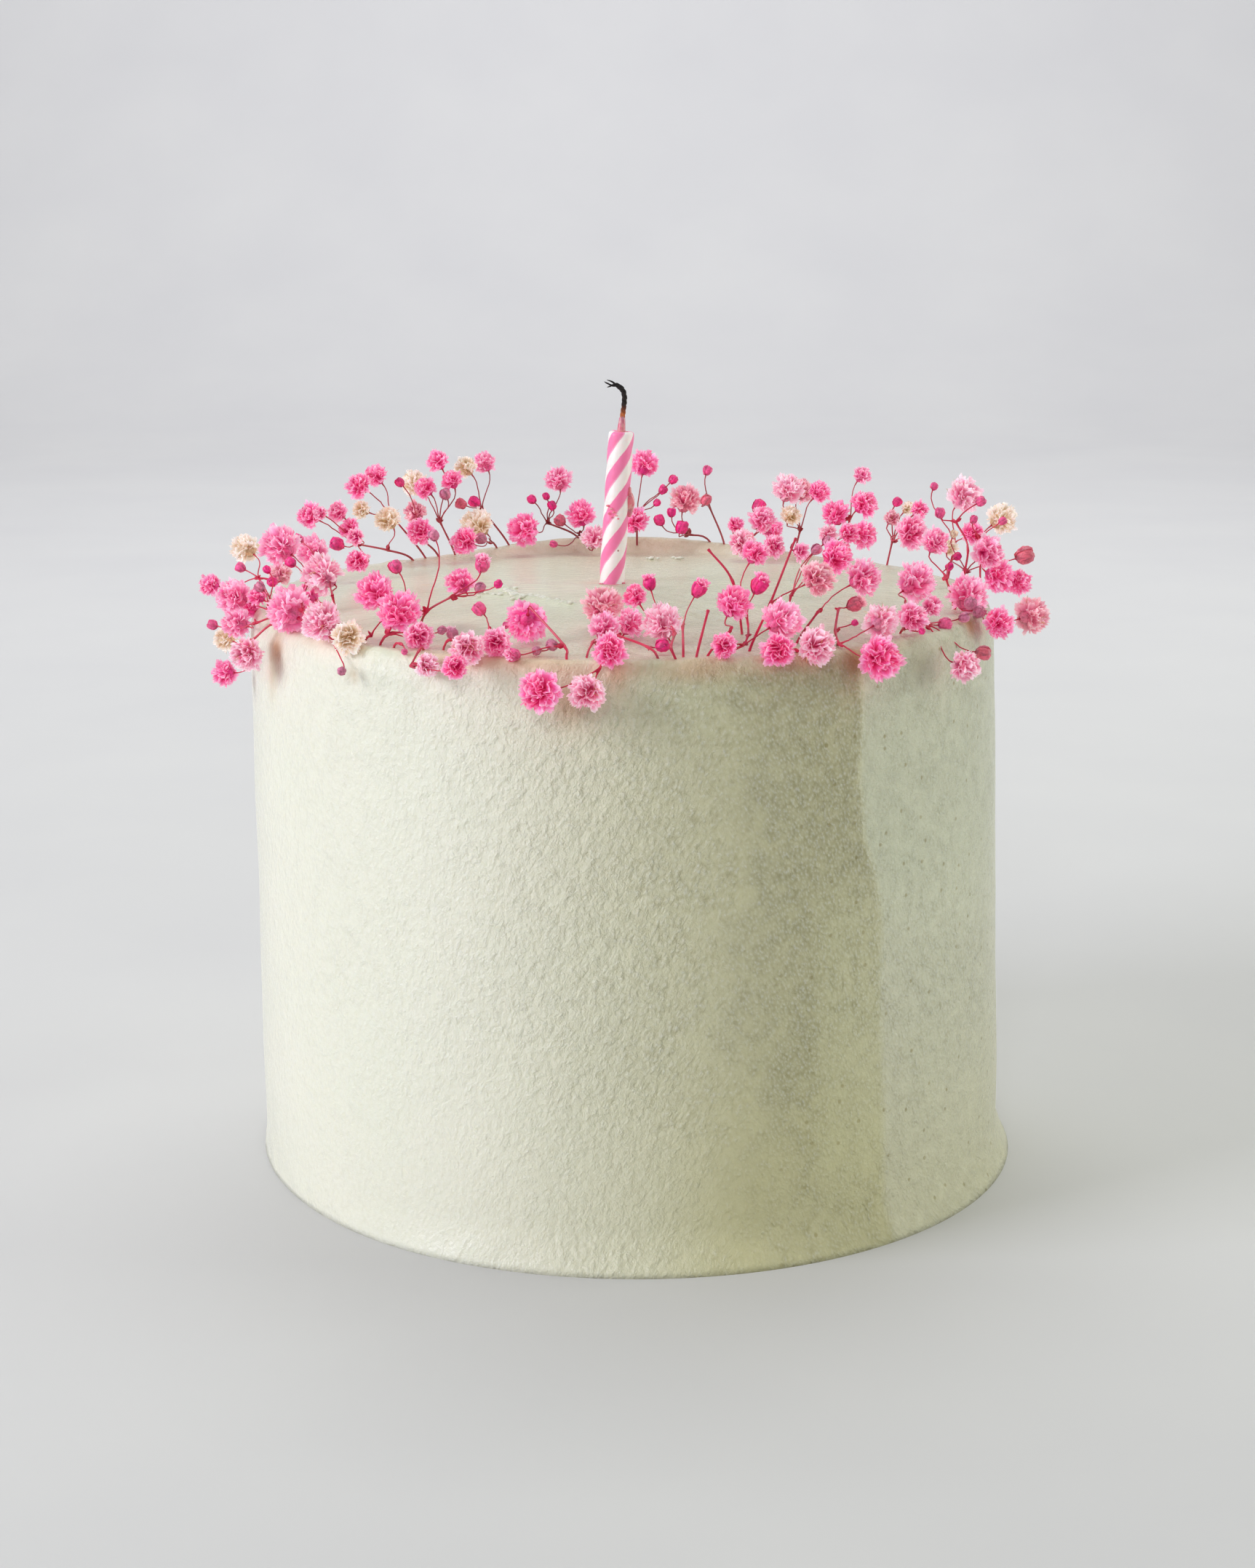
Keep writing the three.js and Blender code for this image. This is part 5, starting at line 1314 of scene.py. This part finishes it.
def buildSprig(number, plan, petals, sepals, bark):
    name = f"sprig_{number:02d}"
    foot, end = pegOf(plan)
    nodes = [np.array(joint["at"]) + (0, 0, frosting["height"]) for joint in plan["stem"]]
    path = smoothPath([end, foot, *nodes], flowers["stemStep"])
    tube = []
    for i, point in enumerate(path):
        point = np.array(point)
        swell = sum(bump(np.linalg.norm(point - node), 0, 0.7) for node in nodes)
        radius = flowers["mainRadius"] * (1 - 0.22 * i / len(path))
        radius *= 1 + 0.12 * noise.noise(Vector(point) * 0.8)
        tube.append((point, radius + min(1, swell) * (flowers["jointRadius"] - flowers["mainRadius"])))
    tubes = [tube]
    bunch, bracts = newBunch(), newBunch()
    before = foot
    for node, joint in zip(nodes, plan["stem"]):
        along = unit(node - before)
        for look, size, x, y, up in joint["heads"]:
            middle = np.array([x, y, frosting["height"] + up])
            heading = unit(middle - node)
            outward = unit(np.array([x, min(y, 0.0) + 0.3 * max(y, 0.0), 0.0]))
            axis = heading
            if look.split(" ")[1] != "turned":
                axis = unit(heading + flowers["faceOut"] * outward + (0, 0, flowers["faceUp"]))
            end = middle - axis * 0.42 * size
            neck = np.linalg.norm(end - node)
            leaving = unit(heading + 0.5 * along) * flowers["bow"] * neck
            coming = axis * flowers["bow"] * neck
            count = max(3, round(neck / flowers["branchStep"]))
            branch = []
            for i in range(count + 1):
                t = i / count
                wobble = scatter(0.05) * (0 < i < count)
                radius = flowers["branchRadius"] * (1 - 0.2 * t) + 0.16 * bump(t * neck, 0, 0.8)
                radius += 0.1 * bump((1 - t) * neck, 0, 0.7) * min(1, size / 5)
                point = (node * (1 - t) ** 3 + (node + leaving) * 3 * t * (1 - t) ** 2
                         + (end - coming) * 3 * t * t * (1 - t) + end * t ** 3)
                branch.append((point + wobble, radius))
            tubes.append(branch)
            addHead(bunch, middle, axis, size, look)
            leaf = unit(heading + 0.8 * scatter(0.4))
            axes = aimed(leaf, np.array([0.2, 0.3, 1.0]), dice.uniform(0, 6)) * dice.uniform(1.1, 1.7)
            put(bracts, shapes["sepal"], axes, node, linear(flowers["bract"])[:3], 0.5, "sepal")
        before = node
    stems = sweepTubes(f"{name}_stems", tubes, 1)
    stems.data.materials.clear()
    stems.data.materials.append(bark)
    if bracts["count"]:
        leaves = bunchPiece(f"{name}_bracts", bracts, [bark])
        leaves.data.polygons.foreach_set("material_index", np.zeros(len(leaves.data.polygons), np.int32))
        joinPieces(stems, leaves)
    smoothShade(stems, degrees=50)
    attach(stems, "root")
    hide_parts(name)
    if bunch["count"]:
        blooms = bunchPiece(f"{name}_blooms", bunch, [petals, sepals])
        smoothShade(blooms, degrees=75)
        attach(blooms, "root")
        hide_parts(name)
        return len(blooms.data.polygons)
    return 0


# Petals: dyed, freeze-crisp tissue, matt, with faint veins and dry pale tips. The weak glow, stronger
# towards the
# tips, is painted light: it stands for a dye that fluoresces and for light through thin tissue
def makePetals():
    material, tree, shader, place = newMaterial(
        "dyedPetals", Roughness=0.62, Subsurface_Weight=0.7, Subsurface_Scale=1.1 * mm,
        Subsurface_Radius=(1.0, 0.5, 0.7), Sheen_Weight=0.06, Specular_IOR_Level=0.3)
    tint = addNode(tree, "Attribute", attribute_name="tint")
    reach = addNode(tree, "Attribute", attribute_name="reach").outputs["Fac"]
    blotch = addNode(tree, "TexNoise", {"Vector": place, "Scale": 1 / (0.55 * mm), "Detail": 3.0})
    patchy = addNode(tree, "ValToRGB", {"Fac": blotch}, [(0.3, flowers["blotch"]), (0.6, "#ffffff")])
    base = addNode(tree, "Mix", {0: 0.6, 6: tint, 7: patchy}, data_type="RGBA", blend_type="MULTIPLY")
    dry = addNode(tree, "MapRange", {0: reach, 1: 0.75, 2: 1.0, 3: 0.0, 4: 0.65})
    dry = addNode(tree, "Math", {0: dry, 1: blotch}, operation="MULTIPLY")
    base = addNode(tree, "Mix", {0: dry, 6: base, 7: linear(flowers["dryTip"])}, data_type="RGBA")
    vein = addNode(tree, "TexNoise", {"Vector": place, "Scale": 1 / (0.25 * mm), "Detail": 1.0})
    setInputs(tree, shader, {
        "Base Color": base, "Emission Color": tint,
        "Emission Strength": addNode(tree, "MapRange", {0: reach, 1: 0.1, 2: 0.9, 3: 0.07, 4: 0.23}),
        "Normal": addNode(tree, "Bump", {"Height": vein, "Distance": 0.08 * mm, "Strength": 0.6})})
    return material


# Sepals and bud scales: leathery, satin, with painted shade in their creases and where they overlap, and a
# little of that painted glow
def makeSepals():
    material, tree, shader, place = newMaterial(
        "dyedSepals", Roughness=0.42, Subsurface_Weight=0.2, Subsurface_Scale=0.6 * mm,
        Emission_Strength=0.2)
    tint = addNode(tree, "Attribute", attribute_name="tint")
    rib = addNode(tree, "TexNoise", {"Vector": place, "Scale": 1 / (0.45 * mm), "Detail": 2.0})
    # painted shade: darker where the rib relief is low
    paintedCreaseShade = addNode(tree, "ValToRGB", {"Fac": rib}, [(0.3, flowers["paintedCreaseShade"]), (0.6, "#ffffff")])
    base = addNode(tree, "Mix", {0: 0.7, 6: tint, 7: paintedCreaseShade}, data_type="RGBA", blend_type="MULTIPLY")
    setInputs(tree, shader, {
        "Base Color": base, "Emission Color": base,
        "Normal": addNode(tree, "Bump", {"Height": rib, "Distance": 0.1 * mm, "Strength": 0.6})})
    return material


# Stems: dyed crimson, drying to maroon and brown, browner towards the back, with a dull waxy skin
def makeBark():
    material, tree, shader, place = newMaterial("dyedStems", Roughness=0.42)
    wide = addNode(tree, "TexNoise", {"Vector": place, "Scale": 1 / (14 * mm), "Detail": 2.0})
    fine = addNode(tree, "TexNoise", {"Vector": place, "Scale": 1 / (0.8 * mm), "Detail": 3.0})
    wide = addNode(tree, "Math", {0: wide, 1: 0.65}, operation="MULTIPLY")
    mixed = addNode(tree, "Math", {0: fine, 1: 0.35, 2: wide}, operation="MULTIPLY_ADD")
    dyed = addNode(tree, "ValToRGB", {"Fac": mixed}, flowers["stemDye"])
    axes = addNode(tree, "SeparateXYZ", {0: place})
    # browner towards the back
    towardsBack = addNode(tree, "MapRange", {0: axes.outputs["Y"], 1: 20 * mm, 2: 75 * mm, 3: 0.0, 4: 0.6})
    base = addNode(tree, "Mix", {0: towardsBack, 6: dyed, 7: linear(flowers["backStemColour"])}, data_type="RGBA")
    setInputs(tree, shader, {
        "Base Color": base,
        "Normal": addNode(tree, "Bump", {"Height": fine, "Distance": 0.08 * mm, "Strength": 0.5})})
    return material


petals, sepals, bark = makePetals(), makeSepals(), makeBark()
total = sum(buildSprig(i + 1, plan, petals, sepals, bark) for i, plan in enumerate(sprigs))
print("flowers:", len(sprigs), "sprigs,", total, "faces")
